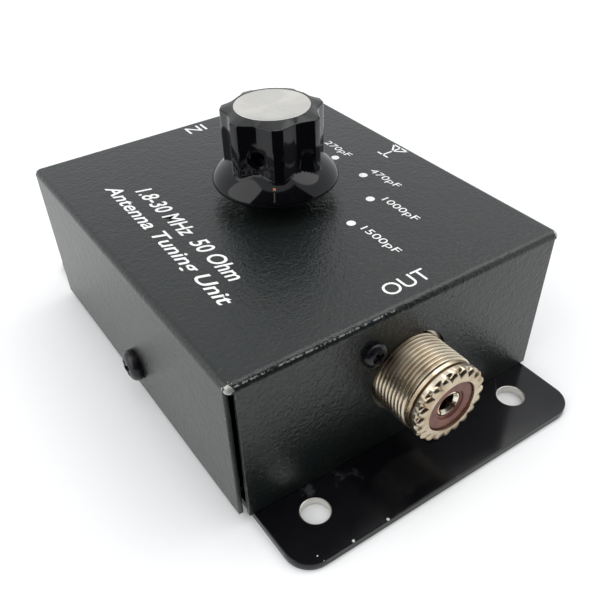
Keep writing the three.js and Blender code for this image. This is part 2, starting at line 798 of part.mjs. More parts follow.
function makeWafer() {
  const board = cylinder(0, 0, waferBottom, waferTop, waferRadius, 48);
  const cuts = [cylinder(0, 0, waferBottom - overrun, waferTop + overrun, rotorRadius + slipFit, 40)];
  for (const angle of [0, 180]) {
    cuts.push(spun(cylinder(spacerCircle, 0, waferBottom - overrun, waferTop + overrun,
      spacerScrewRadius + boltGap, 16), angle));
  }
  add('switch_wafer', onAxis(cut(board, cuts)), 'waferBoard');

  const rotor = cut(cylinder(0, 0, waferBottom, waferTop, rotorRadius, 40), [
    cylinder(0, 0, waferBottom - overrun, waferTop + overrun, shaftRadius + seatGap, 32),
  ]);
  add('switch_rotor', onAxis(rotor), 'waferBoard');

  const ring = cylinder(0, 0, wiperZ, wiperZ + lugSheet, rotorRadius - wiperRingInset, 36);
  const tongue = box(0, -lugWidth / 2, wiperZ, wiperRadius, lugWidth / 2, wiperZ + lugSheet);
  const wiper = cut(ring.add(tongue), [
    cylinder(0, 0, wiperZ - overrun, wiperZ + overrun, shaftRadius + seatGap, 32),
  ]);
  add('switch_wiper', onAxis(wiper, restWiperAngle), 'brass');
}

// flat contact lug lying along +X, with an eyelet at its outer end
function lug(innerRadius, z) {
  const eye = lugOuterRadius - lugWidth / 2;
  const tail = cylinder(eye, 0, z, z + lugSheet, lugWidth / 2, 16);
  const strip = box(innerRadius, -lugWidth / 2, z, eye, lugWidth / 2, z + lugSheet);
  const eyelet = cylinder(eye, 0, z - overrun, z + overrun, eyeletRadius, 12);
  return cut(strip.add(tail), [eyelet]);
}

const lugAngle = (i) => firstLugAngle - switchStepAngle * i;

function makeLugs() {
  for (let i = 0; i < switchSteps; i += 1) {
    const number = String(i + 1).padStart(2, '0');
    add(`switch_lug_${number}`, onAxis(lug(lugInnerRadius, lugZ), lugAngle(i)), 'tinned');
  }
  const under = waferBottom - seatGap - lugSheet;
  const common = lug(shaftRadius + commonLugSetback, under);
  add('switch_common_lug', onAxis(common, commonLugAngle), 'tinned');
}

function makeSpacers() {
  for (const [name, angle] of [['right', 0], ['left', 180]]) {
    const tube = cut(cylinder(0, 0, waferTop + seatGap, housingBottom - seatGap, spacerRadius, 20), [
      cylinder(0, 0, waferTop - overrun, housingBottom + overrun, spacerScrewRadius + boltGap, 16),
    ]);
    add(`switch_spacer_${name}`, onAxis(moved(tube, spacerCircle, 0, 0), angle), 'brass');
    const length = housingTop - housingCap - 2 * boltGap - waferBottom;
    const screw = panScrew(spacerHeadRadius, spacerHeadHeight, spacerScrewRadius, length, 16)
      .rotate([180, 0, 0]);
    add(`switch_screw_${name}`,
      onAxis(moved(screw, spacerCircle, 0, waferBottom - seatGap), angle), 'zinc');
  }
}

// ---------------------------------------------------------------- capacitors and wiring

// one capacitor for each marked position, from the first dial mark round to the last
function makeCapacitors() {
  const inner = lugOuterRadius + jointGap;
  const outer = inner + leadSpan;
  const middle = (inner + outer) / 2;
  capacitorValues.forEach((value, i) => {
    const growth = i / (capacitorValues.length - 1);
    const sized = (key) => THREE.MathUtils.lerp(smallestCapacitor[key], largestCapacitor[key], growth);
    const height = sized('height');
    const core = sized('thickness') - 2 * capacitorRounding;
    const shape = roundedRectangle(0, 0, sized('length'), height, capacitorCorner);
    const geometry = new THREE.ExtrudeGeometry(shape, {
      depth: core,
      bevelEnabled: true,
      bevelThickness: capacitorRounding,
      bevelSize: capacitorRounding,
      bevelOffset: -capacitorRounding,
      bevelSegments: 1,
      curveSegments: 3,
    });
    geometry.translate(0, 0, -core / 2);
    geometry.rotateX(Math.PI / 2);
    geometry.translate(middle, 0, busZ - height * capacitorHang);
    const lead = cylinder(0, 0, inner, outer, leadRadius, 10).rotate([0, 90, 0]);
    const body = solid(geometry).add(moved(lead, 0, 0, busZ));
    add(`capacitor_${value}pf`, onAxis(body, lugAngle(i)), 'capacitorDip');
  });
}

function makeGroundBus() {
  const lowScrew = socketScrewPlaces(true)[1];
  const start = lugAngle(0) + busStartTurn;
  const end = lugAngle(capacitorValues.length - 1) - busEndTurn;
  const points = [];
  const steps = 12;
  for (let i = 0; i <= steps; i += 1) {
    const angle = radians(start + (end - start) * i / steps);
    points.push([knobX + busRadius * Math.cos(angle), knobY + busRadius * Math.sin(angle), busZ]);
  }
  const lugPlane = wallY - coverSheet - flangeSheet - 2 * seatGap - groundLugSheet;
  const tagTop = lowScrew[1] + groundTagLength;
  points.push([lowScrew[0] - 1.5, -lugPlane + 9, (busZ + tagTop) / 2 + 1]);
  points.push([lowScrew[0], -lugPlane + 3.5, tagTop - 1.0]);
  points.push([lowScrew[0], -lugPlane + jointGap, tagTop - 1.5]);
  add('ground_bus', wire(points, busWireRadius, 40), 'tinned');

  const tag = cut(union([
    cylinder(0, 0, 0, groundLugSheet, groundLugRadius, 24),
    box(-groundTagWidth / 2, 0, 0, groundTagWidth / 2, groundTagLength, groundLugSheet),
  ]), [cylinder(0, 0, -overrun, groundLugSheet + overrun, socketScrewRadius + boltGap, 20)]);
  const tagPlace = -wallY + coverSheet + flangeSheet + 2 * seatGap + groundLugSheet;
  add('ground_lug', moved(tag.rotate([90, 0, 0]), lowScrew[0], tagPlace, lowScrew[1]), 'tinned');
}

function makeWires() {
  const end = contactEnd - jointGap;
  add('through_wire', wire([
    [socketX, -end, socketHeight], [socketX, -end / 2, throughWireZ], [socketX, 0, throughWireZ],
    [socketX, end / 2, throughWireZ], [socketX, end, socketHeight],
  ], throughWireRadius, 16), 'tinned');
  const angle = radians(commonLugAngle);
  const tip = lugOuterRadius + jointGap + busWireRadius;
  const joint = socketX - throughWireRadius - linkWireRadius - jointGap;
  const lugEndX = knobX + tip * Math.cos(angle);
  const lugEndY = knobY + tip * Math.sin(angle);
  const lugLevel = waferBottom - lugSheet / 2;
  add('link_wire', wire([
    [lugEndX, lugEndY, lugLevel], [lugEndX - 0.6, lugEndY + 0.6, lugLevel - 1.5],
    [lugEndX + 2.0, lugEndY + 1.6, throughWireZ + 0.8],
    [lugEndX / 2, lugEndY + 2.4, throughWireZ + 0.2],
    [joint, lugEndY + 2.6, throughWireZ],
  ], linkWireRadius, 14), 'tinned');
}

// ---------------------------------------------------------------- assembly

makeCover();
makeBasePlate();
makeSideScrews();
makeSocket(true);
makeSocket(false);
makeKnob();
makeShaft();
makeHousing();
makeDetent();
makeWafer();
makeLugs();
makeSpacers();
makeCapacitors();
makeGroundBus();
makeWires();

export default tuner;
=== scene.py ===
import json
import math

import bmesh
import bpy
from mathutils import Matrix, Vector


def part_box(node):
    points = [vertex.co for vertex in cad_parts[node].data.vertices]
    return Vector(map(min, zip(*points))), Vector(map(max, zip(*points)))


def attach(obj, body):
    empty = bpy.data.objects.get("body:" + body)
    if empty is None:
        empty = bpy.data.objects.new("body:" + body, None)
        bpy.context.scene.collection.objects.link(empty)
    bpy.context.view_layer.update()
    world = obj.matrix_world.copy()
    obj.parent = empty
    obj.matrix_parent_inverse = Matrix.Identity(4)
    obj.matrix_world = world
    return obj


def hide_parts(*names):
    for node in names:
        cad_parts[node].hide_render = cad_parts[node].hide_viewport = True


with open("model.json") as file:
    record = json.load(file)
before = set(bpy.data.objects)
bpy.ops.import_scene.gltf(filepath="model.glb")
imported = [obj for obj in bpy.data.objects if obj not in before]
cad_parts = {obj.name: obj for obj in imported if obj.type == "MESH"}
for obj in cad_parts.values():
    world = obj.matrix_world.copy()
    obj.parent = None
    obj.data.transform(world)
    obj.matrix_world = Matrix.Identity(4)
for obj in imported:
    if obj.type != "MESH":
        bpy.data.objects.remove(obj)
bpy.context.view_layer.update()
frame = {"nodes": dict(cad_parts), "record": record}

# The looks of a small sheet-metal antenna tuner, in metres, in the frame of its CAD model:
# OUT socket towards -Y, IN socket towards +Y, selector knob on top, standing on z = 0.

MM = 0.001
MERGE = 0.002 * MM
SHARP_ANGLE = math.radians(32)
SQUARE_ON = 0.99999
FULL_TURN = 2 * math.pi
UP = Vector((0, 0, 1))

# places that the frame gives
cover_low, cover_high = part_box("cover")
base_low, base_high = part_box("base_plate")
knob_low, knob_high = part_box("knob_body")
shaft_low, shaft_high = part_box("switch_shaft")
knob_axis = Vector(((shaft_low.x + shaft_high.x) / 2, (shaft_low.y + shaft_high.y) / 2, 0))
cover_top = cover_high.z

# sheet metal
COVER_SHEET = 1.0 * MM
COVER_BEND = 1.4 * MM
BEND_STEPS = 8
EDGE_BREAK = 0.12 * MM
BASE_SHEET = 1.8 * MM
BASE_BEND = 2.4 * MM
BASE_EDGE_BREAK = 0.22 * MM
LIP_WIDTH = 68.0 * MM
LIP_CORNER = 5.0 * MM
LIP_HOLE_RADIUS = 2.7 * MM
LIP_HOLE_SPACING = 49.4 * MM
LIP_HOLE_TO_WALL = 5.75 * MM
BEND_RELIEF = 1.0 * MM
FLANGE_HALF_LENGTH = 35.95 * MM
BUSHING_HOLE_RADIUS = 4.9 * MM
SOCKET_HOLE_RADIUS = 8.6 * MM
SMALL_HOLE_RADIUS = 1.5 * MM
SIDE_HOLE_RADIUS = 1.8 * MM

# dial
DIAL_RADIUS = 19.4 * MM
DIAL_FIRST_ANGLE = 75
DIAL_STEP_ANGLE = 30
DIAL_TEXT = 2.25 * MM
DIAL_MARKS = (          # picofarads, then the middle and the length of the words in millimetres
    (120, 7.0, 28.0, 8.7), (180, 17.1, 21.8, 8.7), (270, 22.95, 9.75, 8.7),
    (470, 22.7, -7.2, 9.0), (1000, 17.15, -18.7, 10.0), (1500, 7.05, -24.9, 10.4),
)
DOT_RADIUS = 0.92 * MM
INK_HEIGHT = 0.03 * MM
POINTER_ANGLE = math.radians(-123.5)

scene = bpy.context.scene


# ---------------------------------------------------------------- camera, lights and floor

CAMERA_ANGLES = (-33.08, 42.72, -1.88)      # azimuth, elevation and roll in degrees
CAMERA_DISTANCE = 166.2 * MM
CAMERA_SIDE = 4.2 * MM
CAMERA_RISE = -8.8 * MM
CAMERA_LENS = 42.05
CAMERA_SHIFT = 0.105


def make_camera():
    azimuth, elevation, roll = (math.radians(angle) for angle in CAMERA_ANGLES)
    back = Vector((
        math.sin(azimuth) * math.cos(elevation),
        -math.cos(azimuth) * math.cos(elevation),
        math.sin(elevation),
    ))
    level_right = (-back).cross(UP).normalized()
    level_up = level_right.cross(-back)
    right = level_right * math.cos(roll) + level_up * math.sin(roll)
    up = level_up * math.cos(roll) - level_right * math.sin(roll)
    data = bpy.data.cameras.new("camera")
    data.lens = CAMERA_LENS
    data.sensor_width = 36
    data.shift_y = CAMERA_SHIFT
    data.clip_start = 0.01
    camera = bpy.data.objects.new("camera", data)
    camera.matrix_world = Matrix((right, up, back)).transposed().to_4x4()
    camera.location = back * CAMERA_DISTANCE + right * CAMERA_SIDE + up * CAMERA_RISE
    scene.collection.objects.link(camera)
    scene.camera = camera


def area_light(name, place, size, power):
    data = bpy.data.lights.new(name, "AREA")
    data.shape = "DISK"
    data.size = size
    data.energy = power
    light = bpy.data.objects.new(name, data)
    light.location = place
    light.rotation_euler = (-Vector(place)).to_track_quat("-Z", "Y").to_euler()
    scene.collection.objects.link(light)


SOFT_LIGHTS = (         # name, place in metres, diameter in metres, watts; all face the box
    ("overhead_softbox", (0.30, -0.02, 0.50), 0.44, 0.85),
    ("left_fill", (-0.60, 0.05, 0.42), 0.90, 2.7),
    ("ceiling_lamp", (0.03, 0.06, 0.62), 0.16, 0.35),
)
SKY_COLOR = (0.96, 0.98, 1.0, 1)
SKY_STRENGTH = 0.90


def make_lights():
    world = bpy.data.worlds.new("studio")
    world.use_nodes = True
    background = world.node_tree.nodes["Background"]
    background.inputs["Color"].default_value = SKY_COLOR
    background.inputs["Strength"].default_value = SKY_STRENGTH
    scene.world = world
    for name, place, size, power in SOFT_LIGHTS:
        area_light(name, place, size, power)
    scene.view_settings.view_transform = "Standard"


FLAG_RADIUS = 130 * MM
FLAG_HEIGHT = 300 * MM
FLAG_START = math.radians(194)
FLAG_SWEEP = math.radians(108)


def make_flag():
    """A curved black card around the camera's side of the box, which only reflections see."""
    bm = bmesh.new()
    start = bm.verts.new((FLAG_RADIUS, 0, 0))
    end = bm.verts.new((FLAG_RADIUS, 0, FLAG_HEIGHT))
    edge = bm.edges.new((start, end))
    bmesh.ops.rotate(bm, verts=[start, end], matrix=Matrix.Rotation(FLAG_START, 3, "Z"))
    bmesh.ops.spin(bm, geom=[edge], cent=(0, 0, 0), axis=UP, angle=FLAG_SWEEP, steps=24)
    flag = mesh_object("black_flag", bm)
    card = Finish("black_card", (0.004, 0.004, 0.004), 0.9)
    card.vary_color(card.noise(60, 2), (0.003, 0.003, 0.003), (0.005, 0.005, 0.005))
    flag.data.materials.append(card.material)
    flag.visible_camera = False
    flag.visible_diffuse = False
    flag.visible_shadow = False


FLOOR_HALF_SIZE = 3.0


def make_floor():
    bm = bmesh.new()
    bmesh.ops.create_grid(bm, x_segments=1, y_segments=1, size=FLOOR_HALF_SIZE)
    floor = mesh_object("floor", bm)
    paper = Finish("white_paper", (0.87, 0.87, 0.865), 0.7)
    paper.vary_color(paper.noise(9, 2), (0.86, 0.86, 0.855), (0.88, 0.88, 0.875))
    floor.data.materials.append(paper.material)


# ---------------------------------------------------------------- finishes

class Finish:
    """A material being mixed: one Principled shader and the nodes that feed it."""

    def __init__(self, name, color, roughness, metallic=0.0, **more):
        self.material = bpy.data.materials.new(name)
        self.material.use_nodes = True
        self.tree = self.material.node_tree
        self.shader = self.tree.nodes["Principled BSDF"]
        self.set("Base Color", (*color, 1))
        self.set("Roughness", roughness)
        self.set("Metallic", metallic)
        for socket, value in more.items():
            self.set(socket.replace("_", " "), value)
        self.place = self.node("ShaderNodeTexCoord").outputs["Object"]
        self.height = None

    def set(self, socket, value):
        self.shader.inputs[socket].default_value = value

    def node(self, kind, inputs=(), **settings):
        made = self.tree.nodes.new(kind)
        for name, value in settings.items():
            setattr(made, name, value)
        for socket, value in dict(inputs).items():
            if isinstance(value, bpy.types.NodeSocket):
                self.tree.links.new(value, made.inputs[socket])
            else:
                made.inputs[socket].default_value = value
        return made

    def feed(self, socket, value):
        self.tree.links.new(value, self.shader.inputs[socket])

    def math(self, operation, *values):
        return self.node("ShaderNodeMath", enumerate(values), operation=operation).outputs[0]

    def noise(self, scale, detail=3.0, stretch=(1, 1, 1), distortion=0.0):
        mapped = self.node("ShaderNodeMapping", {"Vector": self.place, "Scale": stretch})
        return self.node("ShaderNodeTexNoise", {
            "Vector": mapped.outputs[0], "Scale": scale, "Detail": detail, "Distortion": distortion,
        }).outputs["Fac"]

    def ramp(self, value, low, high, start=0.0, end=1.0):
        return self.node("ShaderNodeMapRange", {
            "Value": value, "From Min": low, "From Max": high, "To Min": start, "To Max": end,
        }, interpolation_type="SMOOTHSTEP").outputs[0]

    def blend(self, factor, first, second):
        mix = self.node("ShaderNodeMix", {"Factor": factor}, data_type="RGBA")
        for socket, value in ((6, first), (7, second)):
            if isinstance(value, bpy.types.NodeSocket):
                self.tree.links.new(value, mix.inputs[socket])
            else:
                mix.inputs[socket].default_value = (*value, 1)
        return mix.outputs[2]

    def vary_color(self, factor, first, second):
        mixed = self.blend(factor, first, second)
        self.feed("Base Color", mixed)
        return mixed

    def vary(self, socket, factor, low, high):
        self.feed(socket, self.ramp(factor, 0, 1, low, high))

    def axis(self, name):
        return self.node("ShaderNodeSeparateXYZ", {0: self.place}).outputs[name]

    def near(self, point, radius, softness=0.5):
        """1 at a point, falling to 0 at a radius."""
        away = self.node("ShaderNodeVectorMath", {0: self.place, 1: point},
                         operation="DISTANCE").outputs["Value"]
        return self.ramp(away, radius * (1 - softness), radius, 1.0, 0.0)

    def most(self, values):
        result = values[0]
        for value in values[1:]:
            result = self.math("MAXIMUM", result, value)
        return result

    def edges(self, radius):
        """0 on flat faces, rising towards 1 on the outward edges and corners."""
        rounded = self.node("ShaderNodeBevel", {"Radius": radius}, samples=6).outputs[0]
        sharp = self.node("ShaderNodeNewGeometry").outputs["True Normal"]
        along = self.node("ShaderNodeVectorMath", {0: rounded, 1: sharp},
                          operation="DOT_PRODUCT").outputs["Value"]
        return self.math("SUBTRACT", 1.0, along)

    def bump(self, height, strength, distance):
        inputs = {"Height": height, "Strength": strength, "Distance": distance}
        if self.height is not None:
            inputs["Normal"] = self.height
        self.height = self.node("ShaderNodeBump", inputs).outputs[0]
        self.feed("Normal", self.height)

    def wear_to_metal(self, mask, paint, metal, paint_roughness, metal_roughness=0.45):
        self.vary_color(mask, paint, metal)
        self.vary("Metallic", mask, 0.0, 0.9)
        self.vary("Roughness", mask, paint_roughness, metal_roughness)


BARE_CORNERS = (1.5, 1.1, 1.4, 1.0)         # radius in millimetres at each corner of the top


def paint_cover():
    """Fine wrinkle paint, green-black, worn to bare steel on the corners and along the bends, with
    a painted highlight dotted in bare steel along the front bend.
    """
    finish = Finish("cover_wrinkle_paint", (0.005, 0.007, 0.0065), 0.32, Specular_IOR_Level=0.56)
    wrinkle = finish.noise(1250, 3, distortion=0.8)
    swell = finish.noise(420, 2)
    finish.bump(wrinkle, 0.9, 0.15 * MM)
    finish.bump(swell, 0.5, 0.14 * MM)
    grit = finish.noise(1500, 3)
    corners = [
        (sx * cover_high.x * 0.985, sy * cover_high.y * 0.985, cover_top - 0.5 * MM)
        for sx in (-1, 1) for sy in (-1, 1)
    ]
    bare = finish.most([
        finish.near(point, size * MM, 0.9) for point, size in zip(corners, BARE_CORNERS)
    ])
    torn = finish.ramp(finish.math("ADD", bare, finish.ramp(grit, 0.3, 0.7, -0.4, 0.4)), 0.42, 0.5)
    edge = finish.edges(0.5 * MM)
    scuffs = finish.noise(260, 4)
    rubbed = finish.math("MULTIPLY", finish.ramp(edge, 0.12, 0.3), finish.ramp(scuffs, 0.56, 0.64))
    # the front bend's dotted line is a painted highlight, laid in as bare steel
    mask = finish.most([torn, rubbed, front_bend_painted_highlight(finish)])
    tint = finish.blend(finish.noise(90, 3), (0.004, 0.0065, 0.006), (0.007, 0.009, 0.0085))
    finish.wear_to_metal(mask, tint, (0.52, 0.52, 0.49), 0.30, 0.5)
    return finish.material


def front_bend_painted_highlight(finish):
    """A painted highlight: a dotted line of bare steel along the left half of the bend over the OUT
    wall.
    """
    across = finish.math("SUBTRACT", finish.axis("Y"), cover_low.y + 0.42 * MM)
    above = finish.math("SUBTRACT", finish.axis("Z"), cover_top - 0.40 * MM)
    squares = finish.math("ADD", finish.math("MULTIPLY", across, across),
                          finish.math("MULTIPLY", above, above))
    line = finish.ramp(finish.math("SQRT", squares), 0.06 * MM, 0.20 * MM, 0.6, 0.0)
    side = finish.ramp(finish.axis("X"), -4.5 * MM, -3.0 * MM, 1.0, 0.0)
    dots = finish.ramp(finish.noise(1900, 3), 0.46, 0.62)
    return finish.math("MULTIPLY", finish.math("MULTIPLY", line, side), dots)


# along X, then in from the lip's edge or out from the wall, then the radius, in millimetres
LIP_CHIPS = ((-15.3, 0.3, 0.45), (-22.9, 0.3, 0.4), (-29.7, 1.5, 0.22), (-29.3, 0.1, 0.25))
LIP_GREY_PATCHES = ((-23.4, -1.2, 1.9), (-17.5, -2.2, 2.4), (-14.5, -3.6, 2.4))


def paint_base():
    """Smooth gloss black, scratched, chipped along its edges and with greyer patches near the OUT
    wall.
    """
    finish = Finish("base_gloss_paint", (0.003, 0.003, 0.004), 0.14, Specular_IOR_Level=0.32)
    orange_peel = finish.noise(700, 2)
    finish.bump(orange_peel, 0.12, 0.03 * MM)
    edge = finish.edges(0.55 * MM)
    grit = finish.noise(900, 4)
    chips = finish.math("MULTIPLY", finish.ramp(edge, 0.16, 0.3), finish.ramp(grit, 0.62, 0.68))
    front = base_low.y
    marks = finish.most([
        finish.near((x * MM, front + y * MM, BASE_SHEET), size * MM, 0.8)
        for x, y, size in LIP_CHIPS
    ])
    ragged = finish.ramp(grit, 0.3, 0.7, -0.3, 0.3)
    chipped = finish.ramp(finish.math("ADD", marks, ragged), 0.5, 0.6)
    hole_y = cover_high.y + LIP_HOLE_TO_WALL
    rims = finish.most([
        finish.near((x, y, BASE_SHEET / 2), LIP_HOLE_RADIUS + 0.40 * MM, 0.06)
        for x in (-LIP_HOLE_SPACING / 2, LIP_HOLE_SPACING / 2) for y in (-hole_y, hole_y)
    ])
    mask = finish.most([chips, chipped, rims])
    grey_patches = finish.most([
        finish.near((x * MM, cover_low.y + y * MM, BASE_SHEET), size * MM, 0.5)
        for x, y, size in LIP_GREY_PATCHES
    ])
    grey_patch_grain = finish.math("MULTIPLY", grey_patches, finish.ramp(finish.noise(420, 5), 0.50, 0.68))
    hairlines = finish.ramp(finish.noise(260, 5, stretch=(1, 14, 1), distortion=0.4), 0.66, 0.70)
    dull = finish.math("MAXIMUM", grey_patch_grain, finish.math("MULTIPLY", hairlines, 0.10))
    paint = finish.blend(dull, (0.003, 0.003, 0.004), (0.030, 0.031, 0.034))
    finish.vary_color(mask, paint, (0.72, 0.70, 0.66))
    finish.vary("Metallic", mask, 0.0, 0.9)
    cloud = finish.ramp(finish.noise(60, 3), 0.3, 0.7, 0.10, 0.19)
    dulled = finish.math("ADD", cloud, finish.math("MULTIPLY", finish.most([dull, mask]), 0.2))
    finish.feed("Roughness", dulled)
    return finish.material


def plated(name, color, shadow, roughness, axis_point=None, root=None, crest=None):
    """Bright plating with a brown film, darker towards the thread roots of a turned part along Y.
    """
    finish = Finish(name, color, roughness, 1.0)
    film = finish.ramp(finish.noise(340, 4), 0.35, 0.7)
    if axis_point is not None:
        flat = finish.node("ShaderNodeVectorMath", {0: finish.place, 1: axis_point},
                           operation="SUBTRACT").outputs[0]
        flat = finish.node("ShaderNodeVectorMath", {0: flat, 1: (1, 0, 1)},
                           operation="MULTIPLY").outputs[0]
        radius = finish.node("ShaderNodeVectorMath", {0: flat}, operation="LENGTH").outputs["Value"]
        depth = finish.ramp(radius, root, crest, 1.0, 0.0)
        film = finish.math("MULTIPLY_ADD", film, 0.35, finish.math("MULTIPLY", depth, 0.4))
    finish.vary_color(film, color, shadow)
    finish.vary("Roughness", finish.noise(120, 3), roughness * 0.75, roughness * 1.35)
    finish.bump(finish.noise(1800, 3), 0.10, 0.02 * MM)
    return finish.material


def silvered(end, mouth):
    """Silvered brass, bright at the mouth of a contact at this Y, with painted shade that turns it
    black inside.
    """
    finish = Finish(f"{end}_silvered_contact", (0.90, 0.84, 0.70), 0.28, 1.0)
    depth = finish.math("ABSOLUTE", finish.math("SUBTRACT", finish.axis("Y"), mouth))
    # painted shade: darker with depth into the contact, near black beyond 2.2 mm
    painted_inner_shade = finish.ramp(depth, 0.7 * MM, 2.2 * MM)
    film = finish.ramp(finish.noise(420, 4), 0.45, 0.7)
    bright = finish.blend(film, (0.90, 0.84, 0.70), (0.62, 0.40, 0.17))
    finish.vary_color(painted_inner_shade, bright, (0.020, 0.017, 0.014))
    finish.vary("Roughness", finish.noise(300, 3), 0.2, 0.4)
    return finish.material


def blackened(name):
    finish = Finish(name, (0.004, 0.004, 0.006), 0.25, Specular_IOR_Level=0.38)
    finish.vary_color(finish.ramp(finish.noise(500, 4), 0.45, 0.75), (0.003, 0.003, 0.005),
                      (0.016, 0.013, 0.015))
    finish.vary("Roughness", finish.noise(700, 3), 0.16, 0.36)
    finish.bump(finish.noise(1500, 2), 0.15, 0.02 * MM)
    return finish.material


def moulded(name, color, spots, roughness, grain=900, strength=0.15):
    finish = Finish(name, color, roughness)
    finish.vary_color(finish.ramp(finish.noise(grain, 4), 0.35, 0.7), color, spots)
    finish.vary("Roughness", finish.noise(grain / 3, 3), roughness * 0.8, roughness * 1.25)
    finish.bump(finish.noise(grain * 1.6, 3), strength, 0.03 * MM)
    return finish.material


def knob_plastic():
    """Gloss black moulding whose flat top is satin and a little dusty."""
    finish = Finish("knob_gloss_plastic", (0.002, 0.002, 0.003), 0.10, Specular_IOR_Level=0.34)
    top = finish.ramp(finish.axis("Z"), knob_high.z - 0.85 * MM, knob_high.z - 0.70 * MM)
    dust = finish.ramp(finish.noise(800, 5), 0.62, 0.72, 0.0, 0.10)
    satin = finish.math("MAXIMUM", top, dust)
    finish.vary_color(satin, (0.002, 0.002, 0.003), (0.016, 0.016, 0.016))
    finish.vary("Roughness", satin, 0.08, 0.26)
    finish.bump(finish.noise(350, 3), 0.08, 0.05 * MM)
    return finish.material


def spun_aluminium():
    """A disc turned on a lathe: fine rings that draw the light out along its radius."""
    finish = Finish("spun_aluminium", (0.72, 0.70, 0.655), 0.26, 1.0, Anisotropic=0.9)
    outward = finish.node("ShaderNodeVectorMath", {0: finish.place, 1: tuple(knob_axis)},
                          operation="SUBTRACT").outputs[0]
    around = finish.node("ShaderNodeVectorMath", {0: outward, 1: (0, 0, 1)},
                         operation="CROSS_PRODUCT").outputs[0]
    turned_with = finish.node("ShaderNodeVectorTransform", {0: around}, vector_type="VECTOR",
                              convert_from="OBJECT", convert_to="WORLD").outputs[0]
    finish.feed("Tangent", turned_with)
    flat = finish.node("ShaderNodeVectorMath", {0: outward, 1: (1, 1, 0)},
                       operation="MULTIPLY").outputs[0]
    radius = finish.node("ShaderNodeVectorMath", {0: flat}, operation="LENGTH").outputs["Value"]
    rings = finish.node("ShaderNodeTexNoise", {"W": radius, "Scale": 6000, "Detail": 2},
                        noise_dimensions="1D").outputs["Fac"]
    finish.vary("Roughness", rings, 0.24, 0.32)
    finish.bump(rings, 0.05, 0.01 * MM)
    return finish.material


def ink(name, color, worn):
    finish = Finish(name, color, 0.5)
    finish.vary_color(finish.ramp(finish.noise(1400, 4), 0.55, 0.8), color, worn)
    finish.bump(finish.noise(1500, 3), 0.2, 0.02 * MM)
    return finish.material


# ---------------------------------------------------------------- making pieces

def mesh_object(name, bm):
    mesh = bpy.data.meshes.new(name)
    bm.to_mesh(mesh)
    bm.free()
    made = bpy.data.objects.new(name, mesh)
    scene.collection.objects.link(made)
    return made


def soften(bm):
    """Shades smooth everywhere except across sharp edges."""
    for face in bm.faces:
        face.smooth = True
    for edge in bm.edges:
        edge.smooth = edge.calc_face_angle(0) < SHARP_ANGLE


def flatten_panels(bm):
    """Shades a folded sheet's level and upright panels flat, and leaves its bends round."""
    for face in bm.faces:
        if max(abs(share) for share in face.normal) > SQUARE_ON:
            face.smooth = False


def piece(name, bm, material, body="case", replaces=()):
    bmesh.ops.remove_doubles(bm, verts=bm.verts[:], dist=MERGE)
    bmesh.ops.dissolve_degenerate(bm, edges=bm.edges[:], dist=MERGE)
    bmesh.ops.recalc_face_normals(bm, faces=bm.faces[:])
    soften(bm)
    if set(replaces) & {"cover", "base_plate"}:
        flatten_panels(bm)
    made = mesh_object(name, bm)
    made.data.materials.append(material)
    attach(made, body)
    if replaces:
        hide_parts(*replaces)
    return made


def plain_mesh(source):
    """An object's finished shape as a mesh of its own."""
    bpy.context.view_layer.update()
    return bpy.data.meshes.new_from_object(
        source.evaluated_get(bpy.context.evaluated_depsgraph_get()))


def facing(outward):
    """Turns +Z towards a direction."""
    return outward.to_track_quat("Z", "Y").to_matrix().to_4x4()


def put(bm, matrix, verts=None):
    bmesh.ops.transform(bm, matrix=matrix, verts=verts or bm.verts[:])


def new_parts(made, kind):
    return [part for part in made if isinstance(part, kind)]


def set_ring(verts, height, radius):
    for vert in verts:
        angle = math.atan2(vert.co.y, vert.co.x)
        reach = radius(angle) if callable(radius) else radius
        vert.co = Vector((reach * math.cos(angle), reach * math.sin(angle), height))


def stack(bm, rings, sides=48, cap_first=True, cap_last=True):
    """A wall through rings about Z, each (height, radius); a radius may depend on the angle."""
    verts = bmesh.ops.create_circle(bm, radius=1, segments=sides)["verts"]
    edges = list({edge for vert in verts for edge in vert.link_edges})
    set_ring(verts, *rings[0])
    if cap_first:
        bmesh.ops.contextual_create(bm, geom=edges)
    for height, radius in rings[1:]:
        made = bmesh.ops.extrude_edge_only(bm, edges=edges)["geom"]
        verts = new_parts(made, bmesh.types.BMVert)
        edges = new_parts(made, bmesh.types.BMEdge)
        set_ring(verts, height, radius)
    if cap_last:
        bmesh.ops.contextual_create(bm, geom=edges)


def arc(center_x, center_y, radius, start, sweep, steps):
    return [
        (center_x + radius * math.cos(math.radians(start + sweep * i / steps)),
         center_y + radius * math.sin(math.radians(start + sweep * i / steps)))
        for i in range(steps + 1)
    ]


def circle(center_x, center_y, radius, steps=48):
    return arc(center_x, center_y, radius, 0, 360 * (steps - 1) / steps, steps - 1)


def panel(bm, outline, holes, place):
    """A flat face with holes, from closed loops of (x, y) points, laid where place says."""
    edges = []
    verts = []
    for loop in [outline, *holes]:
        corners = [bm.verts.new((x, y, 0)) for x, y in loop]
        edges += [bm.edges.new(pair) for pair in zip(corners, corners[1:] + corners[:1])]
        verts += corners
    bmesh.ops.triangle_fill(bm, edges=edges, use_beauty=True, use_dissolve=False)
    put(bm, place, verts)


